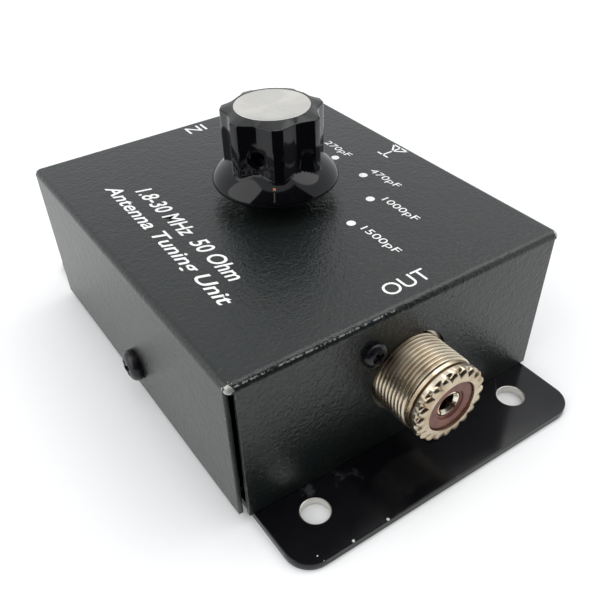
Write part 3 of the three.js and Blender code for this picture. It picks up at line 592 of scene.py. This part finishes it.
def thicken(bm, sheet, edge_break):
    """Gives a skin that faces outwards its thickness, inwards, and breaks its cut edges."""
    bmesh.ops.remove_doubles(bm, verts=bm.verts[:], dist=MERGE)
    bmesh.ops.recalc_face_normals(bm, faces=bm.faces[:])
    top = max(bm.faces, key=lambda face: face.calc_area())
    if top.normal.dot(top.calc_center_median() - Vector((0, 0, 10 * MM))) < 0:
        bmesh.ops.reverse_faces(bm, faces=bm.faces[:])
    bmesh.ops.solidify(bm, geom=bm.faces[:], thickness=sheet)
    bmesh.ops.recalc_face_normals(bm, faces=bm.faces[:])
    rims = [edge for edge in bm.edges if edge.calc_face_angle(0) > math.radians(60)]
    bmesh.ops.bevel(bm, geom=rims, offset=edge_break, segments=2, profile=0.5, affect="EDGES",
                    material=-1, clamp_overlap=True)


def screw_place(node):
    low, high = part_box(node)
    return (low + high) / 2


# ---------------------------------------------------------------- sheet metal

def fold(bm, edge_verts, center, axis):
    """Sweeps a line of points a quarter turn about an axis, as a bend in the sheet."""
    verts = [bm.verts.new(point) for point in edge_verts]
    geom = verts + [bm.edges.new(pair) for pair in zip(verts, verts[1:])]
    bmesh.ops.spin(bm, geom=geom, cent=center, axis=axis, angle=math.pi / 2,
                   steps=BEND_STEPS, use_merge=False, use_duplicate=False)


def wall_frames():
    """Outward direction, distance to the face and half length, for each of the four walls."""
    for turn in range(4):
        outward = Matrix.Rotation(turn * math.pi / 2, 3, "Z") @ Vector((1, 0, 0))
        outward = Vector((round(outward.x), round(outward.y), 0))
        along = UP.cross(outward)
        reach = abs(outward.dot(cover_high))
        half = abs(along.dot(cover_high)) - COVER_BEND
        yield outward, along, reach, half


def wall_holes(outward, along):
    if outward.y:
        end = "out" if outward.y < 0 else "in"
        shell = screw_place(f"{end}_socket_shell")
        holes = [(shell, SOCKET_HOLE_RADIUS, 64)]
        for level in ("upper", "lower"):
            holes.append((screw_place(f"{end}_socket_screw_{level}"), SMALL_HOLE_RADIUS, 24))
    else:
        side = "left" if outward.x < 0 else "right"
        holes = [(screw_place(f"side_screw_{side}"), SIDE_HOLE_RADIUS, 24)]
    return [circle(along.dot(place), place.z, radius, steps) for place, radius, steps in holes]


def make_cover():
    bm = bmesh.new()
    half_x = cover_high.x - COVER_BEND
    half_y = cover_high.y - COVER_BEND
    shoulder = cover_top - COVER_BEND
    top = [(-half_x, -half_y), (half_x, -half_y), (half_x, half_y), (-half_x, half_y)]
    bushing_hole = circle(knob_axis.x, knob_axis.y, BUSHING_HOLE_RADIUS)
    panel(bm, top, [bushing_hole], Matrix.Translation((0, 0, cover_top)))
    for outward, along, reach, half in wall_frames():
        center = outward * (reach - COVER_BEND) + UP * shoulder
        crown = center + UP * COVER_BEND
        fold(bm, [crown - along * half, crown + along * half], center, along)
        wall = [(-half, cover_low.z), (half, cover_low.z), (half, shoulder), (-half, shoulder)]
        stand = Matrix((along, UP, outward)).transposed().to_4x4()
        stand.translation = outward * reach
        panel(bm, wall, wall_holes(outward, along), stand)
        corner = center + along * half
        edge = [
            corner + (UP * math.cos(t) + outward * math.sin(t)) * COVER_BEND
            for t in (math.pi / 2 * i / BEND_STEPS for i in range(BEND_STEPS + 1))
        ]
        fold(bm, edge, corner, UP)
    thicken(bm, COVER_SHEET, EDGE_BREAK)
    return piece("cover_sheet", bm, paint_cover(), replaces=["cover"])


def make_base():
    bm = bmesh.new()
    half_x = base_high.x - BASE_BEND
    half_y = base_high.y
    lip_x = LIP_WIDTH / 2
    flange_y = FLANGE_HALF_LENGTH
    slot_y = flange_y + BEND_RELIEF
    corner_x = lip_x - LIP_CORNER
    corner_y = half_y - LIP_CORNER
    outline = [(half_x, -flange_y), (half_x, flange_y), (half_x, slot_y), (lip_x, slot_y)]
    outline += arc(corner_x, corner_y, LIP_CORNER, 0, 90, 10)
    outline += arc(-corner_x, corner_y, LIP_CORNER, 90, 90, 10)
    outline += [(-lip_x, slot_y), (-half_x, slot_y), (-half_x, flange_y), (-half_x, -flange_y)]
    outline += [(-half_x, -slot_y), (-lip_x, -slot_y)]
    outline += arc(-corner_x, -corner_y, LIP_CORNER, 180, 90, 10)
    outline += arc(corner_x, -corner_y, LIP_CORNER, 270, 90, 10)
    outline += [(lip_x, -slot_y), (half_x, -slot_y)]
    hole_y = cover_high.y + LIP_HOLE_TO_WALL
    holes = [
        circle(x, y, LIP_HOLE_RADIUS)
        for x in (-LIP_HOLE_SPACING / 2, LIP_HOLE_SPACING / 2) for y in (-hole_y, hole_y)
    ]
    panel(bm, outline, holes, Matrix.Identity(4))
    for side in (-1, 1):
        outward = Vector((side, 0, 0))
        along = Vector((0, side, 0))
        foot = outward * half_x
        center = foot + UP * BASE_BEND
        fold(bm, [foot - along * flange_y, foot + along * flange_y], center, -along)
        flange = [(-flange_y, BASE_BEND), (flange_y, BASE_BEND),
                  (flange_y, base_high.z), (-flange_y, base_high.z)]
        stand = Matrix((along, UP, outward)).transposed().to_4x4()
        stand.translation = outward * base_high.x
        screw = screw_place("side_screw_left" if side < 0 else "side_screw_right")
        panel(bm, flange, [circle(along.dot(screw), screw.z, SIDE_HOLE_RADIUS, 24)], stand)
    thicken(bm, BASE_SHEET, BASE_EDGE_BREAK)
    return piece("base_tray", bm, paint_base(), replaces=["base_plate"])


# ---------------------------------------------------------------- screws

# head radius, head height and shank radius
SIDE_SCREW = (3.4 * MM, 2.3 * MM, 1.7 * MM)
SOCKET_SCREW = (2.4 * MM, 1.7 * MM, 1.4 * MM)


def cross_outline(arm, width):
    """Radius of a cross recess at an angle: four arms with the given half width."""
    def radius(angle):
        off_axis = abs((angle + math.pi / 4) % (math.pi / 2) - math.pi / 4)
        if math.tan(off_axis) < width / arm:
            return arm / math.cos(off_axis)
        return width / math.sin(off_axis)
    return radius


def pan_screw(bm, head_radius, head_height, shank_radius, shank_length):
    rings = [(-shank_length, shank_radius * 0.7),
             (-shank_length + shank_radius * 0.5, shank_radius),
             (0, shank_radius), (0, head_radius * 0.98), (head_height * 0.05, head_radius)]
    shoulder = head_height * 0.38
    for i in range(9):
        angle = math.pi / 2 * i / 9
        rings.append((shoulder + (head_height - shoulder) * math.sin(angle),
                      head_radius * (0.42 + 0.58 * math.cos(angle))))
    arm = head_radius * 0.5
    rings.append((head_height, cross_outline(arm, head_radius * 0.15)))
    rings.append((head_height * 0.75, cross_outline(arm * 0.92, head_radius * 0.13)))
    rings.append((head_height * 0.25, cross_outline(arm * 0.45, head_radius * 0.09)))
    stack(bm, rings, 64)


def make_screw(name, node, outward, head_radius, head_height, shank_radius, twist, material):
    """A pan-head screw that replaces a CAD screw, its head against the wall it goes through."""
    low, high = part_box(node)
    length = abs(outward.dot(high - low)) - head_height
    bm = bmesh.new()
    pan_screw(bm, head_radius, head_height, shank_radius, length)
    tip = outward * max(outward.dot(low), outward.dot(high))
    center = (low + high) / 2
    seat = center - outward * center.dot(outward) + tip - outward * head_height
    twisted = Matrix.Rotation(math.radians(twist), 4, "Z")
    put(bm, Matrix.Translation(seat) @ facing(outward) @ twisted)
    return piece(name, bm, material, replaces=[node])


def make_screws():
    material = blackened("blackened_screws")
    for side, outward in (("left", Vector((-1, 0, 0))), ("right", Vector((1, 0, 0)))):
        make_screw(f"side_pan_screw_{side}", f"side_screw_{side}", outward,
                   *SIDE_SCREW, 35, material)
    for end, outward in (("out", Vector((0, -1, 0))), ("in", Vector((0, 1, 0)))):
        for level, twist in (("upper", 20), ("lower", 65)):
            make_screw(f"{end}_pan_screw_{level}", f"{end}_socket_screw_{level}", outward,
                       *SOCKET_SCREW, twist, material)


# ---------------------------------------------------------------- coax sockets

SOCKET_BORE = 5.2 * MM
THREAD_CREST = 7.93 * MM
THREAD_ROOT = 7.52 * MM
THREAD_PITCH = 0.88 * MM
THREAD_STEPS = 60
NECK_RADIUS = 7.55 * MM
RELIEF_RADIUS = 6.9 * MM
RING_RADIUS = 7.75 * MM
RING_NOTCH_RADIUS = 7.05 * MM
RING_LENGTH = 2.1 * MM
RING_NOTCH_LENGTH = 1.0 * MM
RING_TEETH = 20
SOCKET_FLANGE = 25.4 * MM
CONTACT_RADIUS = 2.6 * MM
CONTACT_BORE = 1.95 * MM
CONTACT_SLOT_ANGLE = 12


def toothed(outer, inner):
    """Radius of a castellated ring: round teeth with narrower round notches between them."""
    def radius(angle):
        wave = 0.5 + 0.5 * math.cos(RING_TEETH * angle)
        return inner + (outer - inner) * wave ** 0.6
    return radius


def thread_ridge(bm, start, end):
    """One closed helical ridge about Z between two heights."""
    half = THREAD_PITCH / 2
    shoulder = THREAD_CREST - 0.06 * MM
    section = [(THREAD_ROOT - 0.1 * MM, -half), (THREAD_ROOT, -half * 0.92),
               (shoulder, -half * 0.42), (THREAD_CREST, -half * 0.2), (THREAD_CREST, half * 0.2),
               (shoulder, half * 0.42), (THREAD_ROOT, half * 0.92), (THREAD_ROOT - 0.1 * MM, half)]
    verts = [bm.verts.new((radius, 0, start + height)) for radius, height in section]
    edges = [bm.edges.new(pair) for pair in zip(verts, verts[1:] + verts[:1])]
    steps = int((end - start) / THREAD_PITCH * THREAD_STEPS)
    last = bmesh.ops.spin(
        bm, geom=verts + edges, cent=(0, 0, 0), axis=UP, dvec=(0, 0, THREAD_PITCH / THREAD_STEPS),
        angle=FULL_TURN * steps / THREAD_STEPS, steps=steps, use_merge=False, use_duplicate=False,
    )["geom_last"]
    bmesh.ops.contextual_create(bm, geom=edges)
    bmesh.ops.contextual_create(bm, geom=new_parts(last, bmesh.types.BMEdge))


def rounded_square(half, corner):
    """Radius of a square with rounded corners, at an angle."""
    def radius(angle):
        off_axis = abs((angle + math.pi / 4) % (math.pi / 2) - math.pi / 4)
        straight = half / math.cos(off_axis)
        bow = (half - corner) * math.sqrt(2) + corner
        return min(straight, bow + (straight - bow) * 0.1)
    return radius


def make_socket_body(bm, tip, back):
    """Threaded barrel, castellated end ring and square flange, along +Z with the wall at z = 0."""
    wall = -COVER_SHEET - 0.02 * MM
    square = rounded_square(SOCKET_FLANGE / 2, 1.5 * MM)
    ring_start = tip - RING_LENGTH
    thread_end = ring_start - 1.15 * MM
    notch_end = tip - RING_NOTCH_LENGTH
    teeth = toothed(RING_RADIUS, RING_NOTCH_RADIUS)
    rings = [
        (tip - 0.6 * MM, SOCKET_BORE + 0.02 * MM), (tip - 0.1 * MM, SOCKET_BORE + 0.05 * MM),
        (tip, SOCKET_BORE + 0.15 * MM), (tip, SOCKET_BORE + 0.75 * MM),
        (tip - 0.06 * MM, toothed(RING_RADIUS - 0.6 * MM, SOCKET_BORE + 0.95 * MM)),
        (tip - 0.22 * MM, toothed(RING_RADIUS - 0.2 * MM, RING_NOTCH_RADIUS - 0.5 * MM)),
        (tip - 0.5 * MM, teeth), (notch_end + 0.3 * MM, teeth),
        (notch_end + 0.1 * MM, toothed(RING_RADIUS, RING_NOTCH_RADIUS + 0.3 * MM)),
        (notch_end - 0.1 * MM, RING_RADIUS), (ring_start + 0.15 * MM, RING_RADIUS),
        (ring_start, RING_RADIUS - 0.15 * MM), (ring_start, RELIEF_RADIUS),
        (ring_start - 0.45 * MM, RELIEF_RADIUS), (ring_start - 0.55 * MM, NECK_RADIUS),
        (thread_end, NECK_RADIUS + 0.1 * MM), (thread_end - 0.2 * MM, THREAD_ROOT + 0.03 * MM),
        (wall, THREAD_ROOT + 0.03 * MM), (wall, square), (back, square),
        (back, SOCKET_BORE + 0.02 * MM), (tip - 0.6 * MM, SOCKET_BORE + 0.02 * MM),
    ]
    stack(bm, rings, RING_TEETH * 12, cap_first=False, cap_last=False)
    bmesh.ops.remove_doubles(bm, verts=bm.verts[:], dist=MERGE)
    thread_ridge(bm, wall + THREAD_PITCH / 2, thread_end - THREAD_PITCH * 0.3)


def make_insulator(bm, face, back):
    tail = back - 3.0 * MM
    shoulder = CONTACT_RADIUS + 0.5 * MM
    rim = CONTACT_RADIUS + 0.06 * MM
    stack(bm, [
        (tail, rim), (tail, SOCKET_BORE - 1.0 * MM), (back, SOCKET_BORE - 1.0 * MM),
        (back, SOCKET_BORE - 0.05 * MM), (face - 0.15 * MM, SOCKET_BORE - 0.05 * MM),
        (face, SOCKET_BORE - 0.2 * MM), (face, shoulder + 0.1 * MM), (face - 0.1 * MM, shoulder),
        (face - 0.35 * MM, shoulder - 0.05 * MM), (face - 0.45 * MM, rim), (tail, rim),
    ], 64, cap_first=False, cap_last=False)


def make_contact(bm, face, end):
    """A tube slit into four springs at its mouth, closed and cupped at its inner end."""
    slit = 5.0 * MM
    stack(bm, [
        (face - slit, CONTACT_BORE), (face - slit, CONTACT_RADIUS), (end, CONTACT_RADIUS),
        (end, CONTACT_RADIUS * 0.55), (end + 3 * MM, CONTACT_RADIUS * 0.5),
        (end + 3.4 * MM, CONTACT_RADIUS * 0.1),
    ], 40, cap_first=False)
    bore = [(face - slit, CONTACT_BORE), (face - slit - 3 * MM, CONTACT_BORE)]
    stack(bm, bore, 40, cap_first=False)
    sweep = 90 - CONTACT_SLOT_ANGLE
    lip = 0.15 * MM
    section = [(CONTACT_BORE, face - slit), (CONTACT_RADIUS, face - slit),
               (CONTACT_RADIUS, face - lip), (CONTACT_RADIUS - lip, face),
               (CONTACT_BORE + 2 * lip, face), (CONTACT_BORE - lip, face - 4 * lip)]
    for quarter in range(4):
        verts = [bm.verts.new((radius, 0, height)) for radius, height in section]
        edges = [bm.edges.new(pair) for pair in zip(verts, verts[1:] + verts[:1])]
        turn = Matrix.Rotation(math.radians(90 * quarter + 45 + CONTACT_SLOT_ANGLE / 2), 4, "Z")
        put(bm, turn, verts)
        last = bmesh.ops.spin(bm, geom=verts + edges, cent=(0, 0, 0), axis=UP,
                              angle=math.radians(sweep), steps=8, use_merge=False,
                              use_duplicate=False)["geom_last"]
        bmesh.ops.contextual_create(bm, geom=edges)
        bmesh.ops.contextual_create(bm, geom=new_parts(last, bmesh.types.BMEdge))


def make_sockets():
    phenolic = moulded("brown_phenolic", (0.170, 0.055, 0.036), (0.10, 0.028, 0.020), 0.42, 700)
    for end, outward in (("out", Vector((0, -1, 0))), ("in", Vector((0, 1, 0)))):
        low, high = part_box(f"{end}_socket_shell")
        wall_y = abs(cover_high.y)
        reach = max(abs(low.y), abs(high.y)) - wall_y
        back = min(abs(low.y), abs(high.y)) - wall_y
        center = Vector(((low.x + high.x) / 2, outward.y * wall_y, (low.z + high.z) / 2))
        place = Matrix.Translation(center) @ facing(outward)
        nickel = plated(f"{end}_nickel_plate", (0.74, 0.675, 0.55), (0.36, 0.24, 0.12), 0.28,
                        tuple(center), THREAD_ROOT, THREAD_CREST)
        bm = bmesh.new()
        make_socket_body(bm, reach, back)
        put(bm, place)
        piece(f"{end}_socket_body", bm, nickel, replaces=[f"{end}_socket_shell"])
        face = max(abs(y) for y in (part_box(f"{end}_socket_insulator")[0].y,
                                    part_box(f"{end}_socket_insulator")[1].y)) - wall_y
        bm = bmesh.new()
        make_insulator(bm, face, back)
        put(bm, place)
        piece(f"{end}_phenolic_insert", bm, phenolic,
              replaces=[f"{end}_socket_insulator"])
        contact_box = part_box(f"{end}_socket_contact")
        tops = [abs(corner.y) - wall_y for corner in contact_box]
        bm = bmesh.new()
        make_contact(bm, max(tops), min(tops))
        put(bm, place)
        mouth = outward.y * (wall_y + max(tops))
        piece(f"{end}_spring_contact", bm, silvered(end, mouth),
              replaces=[f"{end}_socket_contact"])


# ---------------------------------------------------------------- knob

KNOB_SKIRT_RADIUS = 12.8 * MM
KNOB_FOOT_RADIUS = 11.5 * MM
KNOB_SKIRT_RIM = 1.2 * MM
KNOB_DOME_TOP = 5.6 * MM
KNOB_DOME_RADIUS = 8.2 * MM
KNOB_LOBE_RADIUS = 10.1 * MM
KNOB_FLUTE_RADIUS = 8.7 * MM
KNOB_LOBES = 7
LOBE_FROM_POINTER = math.radians(6.0)
LOBE_SHARE = 0.2
KNOB_CAVITY_RADIUS = 10.5 * MM
KNOB_CAVITY_DEPTH = 2.2 * MM
INLAY_RADIUS = 7.4 * MM
INLAY_DEPTH = 0.5 * MM
SET_SCREW_HEIGHT = 8.3 * MM
SET_SCREW_RADIUS = 1.5 * MM
KNOB_TOP_FALL = 0.75 * MM
KNOB_TOP_FLAT = 0.4 * MM


def fluted(lobe, flute):
    """Radius of the grip: seven lobes with round hollows between them."""
    pitch = FULL_TURN / KNOB_LOBES

    def radius(angle):
        share = (angle - POINTER_ANGLE - LOBE_FROM_POINTER) / pitch % 1.0
        into = max(0.0, 1 - abs(share - 0.5) / (0.5 - LOBE_SHARE / 2))
        return lobe - (lobe - flute) * math.sin(into * math.pi / 2)
    return radius


def dome_radius(height):
    """Radius of the knob's domed skirt at a height above its underside."""
    rise = max(0.0, min(1.0, (height - KNOB_SKIRT_RIM) / (KNOB_DOME_TOP - KNOB_SKIRT_RIM)))
    return KNOB_SKIRT_RADIUS - (KNOB_SKIRT_RADIUS - KNOB_DOME_RADIUS) * rise ** 1.45


def skirt_or_grip(height):
    """The knob's outline at a height: the domed skirt, or the fluted grip where that is wider."""
    grip = fluted(KNOB_LOBE_RADIUS, KNOB_FLUTE_RADIUS)
    return lambda angle: max(dome_radius(height), grip(angle))


def make_knob():
    bm = bmesh.new()
    height = knob_high.z - knob_low.z
    hub = 5.05 * MM
    insert_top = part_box("knob_insert")[1].z - knob_low.z + 0.02 * MM
    rings = [
        (insert_top, hub), (KNOB_CAVITY_DEPTH, hub), (KNOB_CAVITY_DEPTH, KNOB_CAVITY_RADIUS),
        (0, KNOB_CAVITY_RADIUS), (0, KNOB_FOOT_RADIUS - 0.1 * MM), (0.1 * MM, KNOB_FOOT_RADIUS),
    ]
    lip_steps = 6
    for i in range(1, lip_steps):
        angle = math.pi / 2 * i / lip_steps
        rings.append((0.1 * MM + (KNOB_SKIRT_RIM - 0.1 * MM) * (1 - math.cos(angle)),
                      KNOB_FOOT_RADIUS + (KNOB_SKIRT_RADIUS - KNOB_FOOT_RADIUS) * math.sin(angle)))
    dome_steps = 22
    for i in range(dome_steps + 1):
        level = KNOB_SKIRT_RIM + (KNOB_DOME_TOP + 0.2 * MM - KNOB_SKIRT_RIM) * i / dome_steps
        rings.append((level, skirt_or_grip(level)))
    edge = 0.3 * MM
    shoulder = height - KNOB_TOP_FALL
    rings.append((shoulder - edge, fluted(KNOB_LOBE_RADIUS, KNOB_FLUTE_RADIUS)))
    for i in range(1, 4):
        angle = math.pi / 2 * i / 3
        shrink = edge * (1 - math.cos(angle))
        rings.append((shoulder - edge + edge * math.sin(angle),
                      fluted(KNOB_LOBE_RADIUS - shrink, KNOB_FLUTE_RADIUS - shrink)))
    rings += [
        (height - 0.04 * MM, INLAY_RADIUS + KNOB_TOP_FLAT), (height, INLAY_RADIUS + 0.12 * MM),
        (height - 0.1 * MM, INLAY_RADIUS + 0.04 * MM),
        (height - INLAY_DEPTH, INLAY_RADIUS + 0.04 * MM),
    ]
    stack(bm, rings, KNOB_LOBES * 30)
    put(bm, Matrix.Translation(knob_axis + UP * knob_low.z))
    knob = piece("knob_grip", bm, knob_plastic(), "selector", ["knob_body"])
    drill(knob, set_screw_bore())

    bm = bmesh.new()
    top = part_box("knob_inlay")[1].z
    stack(bm, [
        (top - 0.4 * MM, INLAY_RADIUS), (top - 0.05 * MM, INLAY_RADIUS),
        (top, INLAY_RADIUS - 0.05 * MM), (top, INLAY_RADIUS - 0.3 * MM),
        (top - 0.04 * MM, INLAY_RADIUS - 0.4 * MM), (top - 0.03 * MM, INLAY_RADIUS * 0.5),
        (top - 0.02 * MM, 0.2 * MM),
    ], 96)
    put(bm, Matrix.Translation(knob_axis))
    piece("knob_disc", bm, spun_aluminium(), "selector", ["knob_inlay"])


def set_screw_bore():
    """The set screw's hole through one flute to the insert, with a shallow counterbore."""
    bm = bmesh.new()
    flute_angle = POINTER_ANGLE + LOBE_FROM_POINTER - math.pi / KNOB_LOBES
    outward = Vector((math.cos(flute_angle), math.sin(flute_angle), 0))
    mouth = SET_SCREW_RADIUS + 0.45 * MM
    stack(bm, [
        (4.9 * MM, SET_SCREW_RADIUS), (KNOB_FLUTE_RADIUS - 0.2 * MM, SET_SCREW_RADIUS),
        (KNOB_FLUTE_RADIUS - 0.15 * MM, mouth), (KNOB_SKIRT_RADIUS + 1 * MM, mouth),
    ], 40)
    seat = knob_axis + UP * (knob_low.z + SET_SCREW_HEIGHT)
    put(bm, Matrix.Translation(seat) @ facing(outward))
    bmesh.ops.recalc_face_normals(bm, faces=bm.faces[:])
    return bm


def drill(target, bm):
    """Cuts a tool's shape out of a piece and leaves the piece with a plain mesh."""
    tool = mesh_object("drill", bm)
    cutter = target.modifiers.new("drill", "BOOLEAN")
    cutter.operation = "DIFFERENCE"
    cutter.solver = "EXACT"
    cutter.object = tool
    bored = plain_mesh(target)
    target.modifiers.clear()
    bpy.data.objects.remove(tool)
    bm = bmesh.new()
    bm.from_mesh(bored)
    bmesh.ops.remove_doubles(bm, verts=bm.verts[:], dist=MERGE)
    soften(bm)
    bm.to_mesh(target.data)
    bm.free()


def height_on_dome(radius):
    """Height above the knob's underside at which the domed skirt has a radius."""
    low, high = KNOB_SKIRT_RIM, KNOB_DOME_TOP
    for _ in range(24):
        level = (low + high) / 2
        low, high = (level, high) if dome_radius(level) > radius else (low, level)
    return level


def pointer_mark(name, start, end, half_width, paint):
    """A strip of ink laid down the skirt between two radii, on the pointer's line."""
    bm = bmesh.new()
    levels = 10
    reach = [start + (end - start) * i / levels for i in range(levels + 1)]
    verts = [bm.verts.new((radius, 0, height_on_dome(radius) + 0.03 * MM)) for radius in reach]
    edges = [bm.edges.new(pair) for pair in zip(verts, verts[1:])]
    made = bmesh.ops.extrude_edge_only(bm, edges=edges)["geom"]
    bmesh.ops.translate(bm, verts=new_parts(made, bmesh.types.BMVert), vec=(0, half_width, 0))
    bmesh.ops.translate(bm, verts=verts, vec=(0, -half_width, 0))
    bmesh.ops.solidify(bm, geom=bm.faces[:], thickness=0.03 * MM)
    put(bm, Matrix.Rotation(POINTER_ANGLE, 4, "Z"))
    put(bm, Matrix.Translation(knob_axis + UP * knob_low.z))
    piece(name, bm, paint, "selector")


def make_pointer():
    """What is left of the orange pointer: a short bright dash and a dim line out to the rim."""
    dash = ink("pointer_orange", (0.50, 0.17, 0.045), (0.16, 0.06, 0.02))
    line = ink("pointer_line_worn", (0.030, 0.022, 0.016), (0.008, 0.007, 0.006))
    pointer_mark("knob_pointer_dash", 11.1 * MM, 10.75 * MM, 0.25 * MM, dash)
    pointer_mark("knob_pointer_line", 12.6 * MM, 11.4 * MM, 0.13 * MM, line)


# ---------------------------------------------------------------- printing on the cover

def label(name, text, center, size, turn, material, shear=0.0, weight=0.0, fit_width=None):
    """Words as thin raised ink on the cover's top: size is the letters' height, turn in degrees."""
    data = bpy.data.curves.new(name, "FONT")
    data.body = text
    data.align_x = "CENTER"
    data.align_y = "CENTER"
    data.shear = shear
    data.size = 1.0
    data.offset = weight
    data.resolution_u = 4
    source = bpy.data.objects.new(name, data)
    scene.collection.objects.link(source)
    mesh = plain_mesh(source)
    bpy.data.objects.remove(source)
    bm = bmesh.new()
    bm.from_mesh(mesh)
    bmesh.ops.remove_doubles(bm, verts=bm.verts[:], dist=0.0005)
    xs = [vert.co.x for vert in bm.verts]
    ys = [vert.co.y for vert in bm.verts]
    middle = Vector(((min(xs) + max(xs)) / 2, (min(ys) + max(ys)) / 2, 0))
    tall = size / (max(ys) - min(ys))
    wide = fit_width / (max(xs) - min(xs)) if fit_width else tall
    put(bm, Matrix.Diagonal((wide, tall, 1, 1)) @ Matrix.Translation(-middle))
    raise_ink(bm)
    put(bm, Matrix.Translation((*center, cover_top)) @ Matrix.Rotation(math.radians(turn), 4, "Z"))
    return piece(name, bm, material)


def raise_ink(bm):
    """Turns flat faces at z = 0 into a thin closed layer just above the paint."""
    for face in bm.faces:
        if face.normal.z < 0:
            face.normal_flip()
    made = bmesh.ops.extrude_face_region(bm, geom=bm.faces[:], use_keep_orig=True)["geom"]
    bmesh.ops.translate(bm, verts=new_parts(made, bmesh.types.BMVert), vec=(0, 0, INK_HEIGHT))
    put(bm, Matrix.Translation((0, 0, 0.006 * MM)))


def make_dial(white):
    for i, (value, x, y, length) in enumerate(DIAL_MARKS):
        angle = math.radians(DIAL_FIRST_ANGLE - DIAL_STEP_ANGLE * i)
        spot = knob_axis + Vector((math.cos(angle), math.sin(angle), 0)) * DIAL_RADIUS
        bm = bmesh.new()
        bmesh.ops.create_circle(bm, cap_ends=True, radius=DOT_RADIUS, segments=32)
        raise_ink(bm)
        put(bm, Matrix.Translation((spot.x, spot.y, cover_top)))
        piece(f"dial_dot_{value}", bm, white)
        label(f"dial_value_{value}", f"{value}pF", (x * MM, y * MM), DIAL_TEXT, -90, white,
              fit_width=length * MM)


AERIAL_PLACE = (31.9 * MM, 1.4 * MM)


def make_aerial_symbol(white):
    """A generic aerial: a mast with three arms spreading from its top, and a foot."""
    bm = bmesh.new()
    bar = 0.42 * MM
    for x0, y0, x1, y1 in ((0, -2.6, 0, 2.6), (0, 0.2, -2.3, 2.6), (0, 0.2, 2.3, 2.6),
                           (-2.3, 2.6, 2.3, 2.6), (-1.5, -2.6, 1.5, -2.6)):
        start, end = Vector((x0, y0, 0)) * MM, Vector((x1, y1, 0)) * MM
        stroke = bmesh.ops.create_grid(bm, x_segments=1, y_segments=1, size=1)["verts"]
        shape = Matrix.Diagonal(((end - start).length / 2 + bar / 2, bar / 2, 1, 1))
        turn = Matrix.Rotation(math.atan2(y1 - y0, x1 - x0), 4, "Z")
        put(bm, Matrix.Translation((start + end) / 2) @ turn @ shape, stroke)
    raise_ink(bm)
    place = Matrix.Translation((*AERIAL_PLACE, cover_top))
    put(bm, place @ Matrix.Rotation(-math.pi / 2, 4, "Z"))
    piece("aerial_symbol", bm, white)


def make_printing():
    white = ink("white_ink", (0.80, 0.81, 0.80), (0.55, 0.56, 0.55))
    make_dial(white)
    label("label_out", "OUT", (2.3 * MM, -37.8 * MM), 3.3 * MM, 0, white, fit_width=9.6 * MM)
    label("label_in", "IN", (2.3 * MM, 38.6 * MM), 3.3 * MM, 180, white, fit_width=4.6 * MM)
    label("label_line_1", "1.8-30 MHz  50 Ohm", (-20.6 * MM, -0.2 * MM), 3.4 * MM, -90, white,
          0.25, 0.012, 39.5 * MM)
    label("label_line_2", "Antenna Tuning Unit", (-26.0 * MM, -0.3 * MM), 4.0 * MM, -90, white,
          0.25, 0.012, 49.5 * MM)
    make_aerial_symbol(white)


# ---------------------------------------------------------------- inner pieces in their CAD shape

def dress_inner_nodes():
    brass = plated("turned_brass", (0.72, 0.50, 0.20), (0.40, 0.24, 0.08), 0.3)
    zinc = plated("zinc_plate", (0.62, 0.63, 0.63), (0.38, 0.36, 0.30), 0.35)
    steel = plated("ground_steel", (0.52, 0.53, 0.54), (0.33, 0.31, 0.28), 0.3)
    tinned = plated("tinned_copper", (0.74, 0.74, 0.73), (0.50, 0.46, 0.38), 0.3)
    nickel = plated("bright_nickel", (0.75, 0.71, 0.62), (0.50, 0.42, 0.30), 0.22)
    contact = plated("spring_brass", (0.76, 0.58, 0.28), (0.45, 0.28, 0.10), 0.3)
    board = moulded("wafer_laminate", (0.28, 0.13, 0.045), (0.20, 0.085, 0.03), 0.55, 500)
    dipped = moulded("dipped_capacitor", (0.26, 0.075, 0.02), (0.20, 0.05, 0.015), 0.32, 400, 0.25)
    finishes = {
        "brass": brass, "zinc": zinc, "steel": steel, "tinned": tinned, "nickel": nickel,
        "contact_brass": contact, "wafer_board": board, "capacitor_dip": dipped,
        # the black_screw slot also holds the nut and washer under the knob: blackened as painted
        # shade for the dark gap beneath the skirt
        "black_screw": blackened("black_set_screw_and_shaded_nut"),
    }
    slot_of = {part["node"]: part["material_slot"] for part in frame["record"]["subparts"]}
    for name, node in frame["nodes"].items():
        if slot_of[name] in finishes:
            node.data.materials.clear()
            node.data.materials.append(finishes[slot_of[name]])


make_camera()
make_lights()
make_flag()
make_floor()
make_cover()
make_base()
make_screws()
make_sockets()
make_knob()
make_pointer()
make_printing()
dress_inner_nodes()
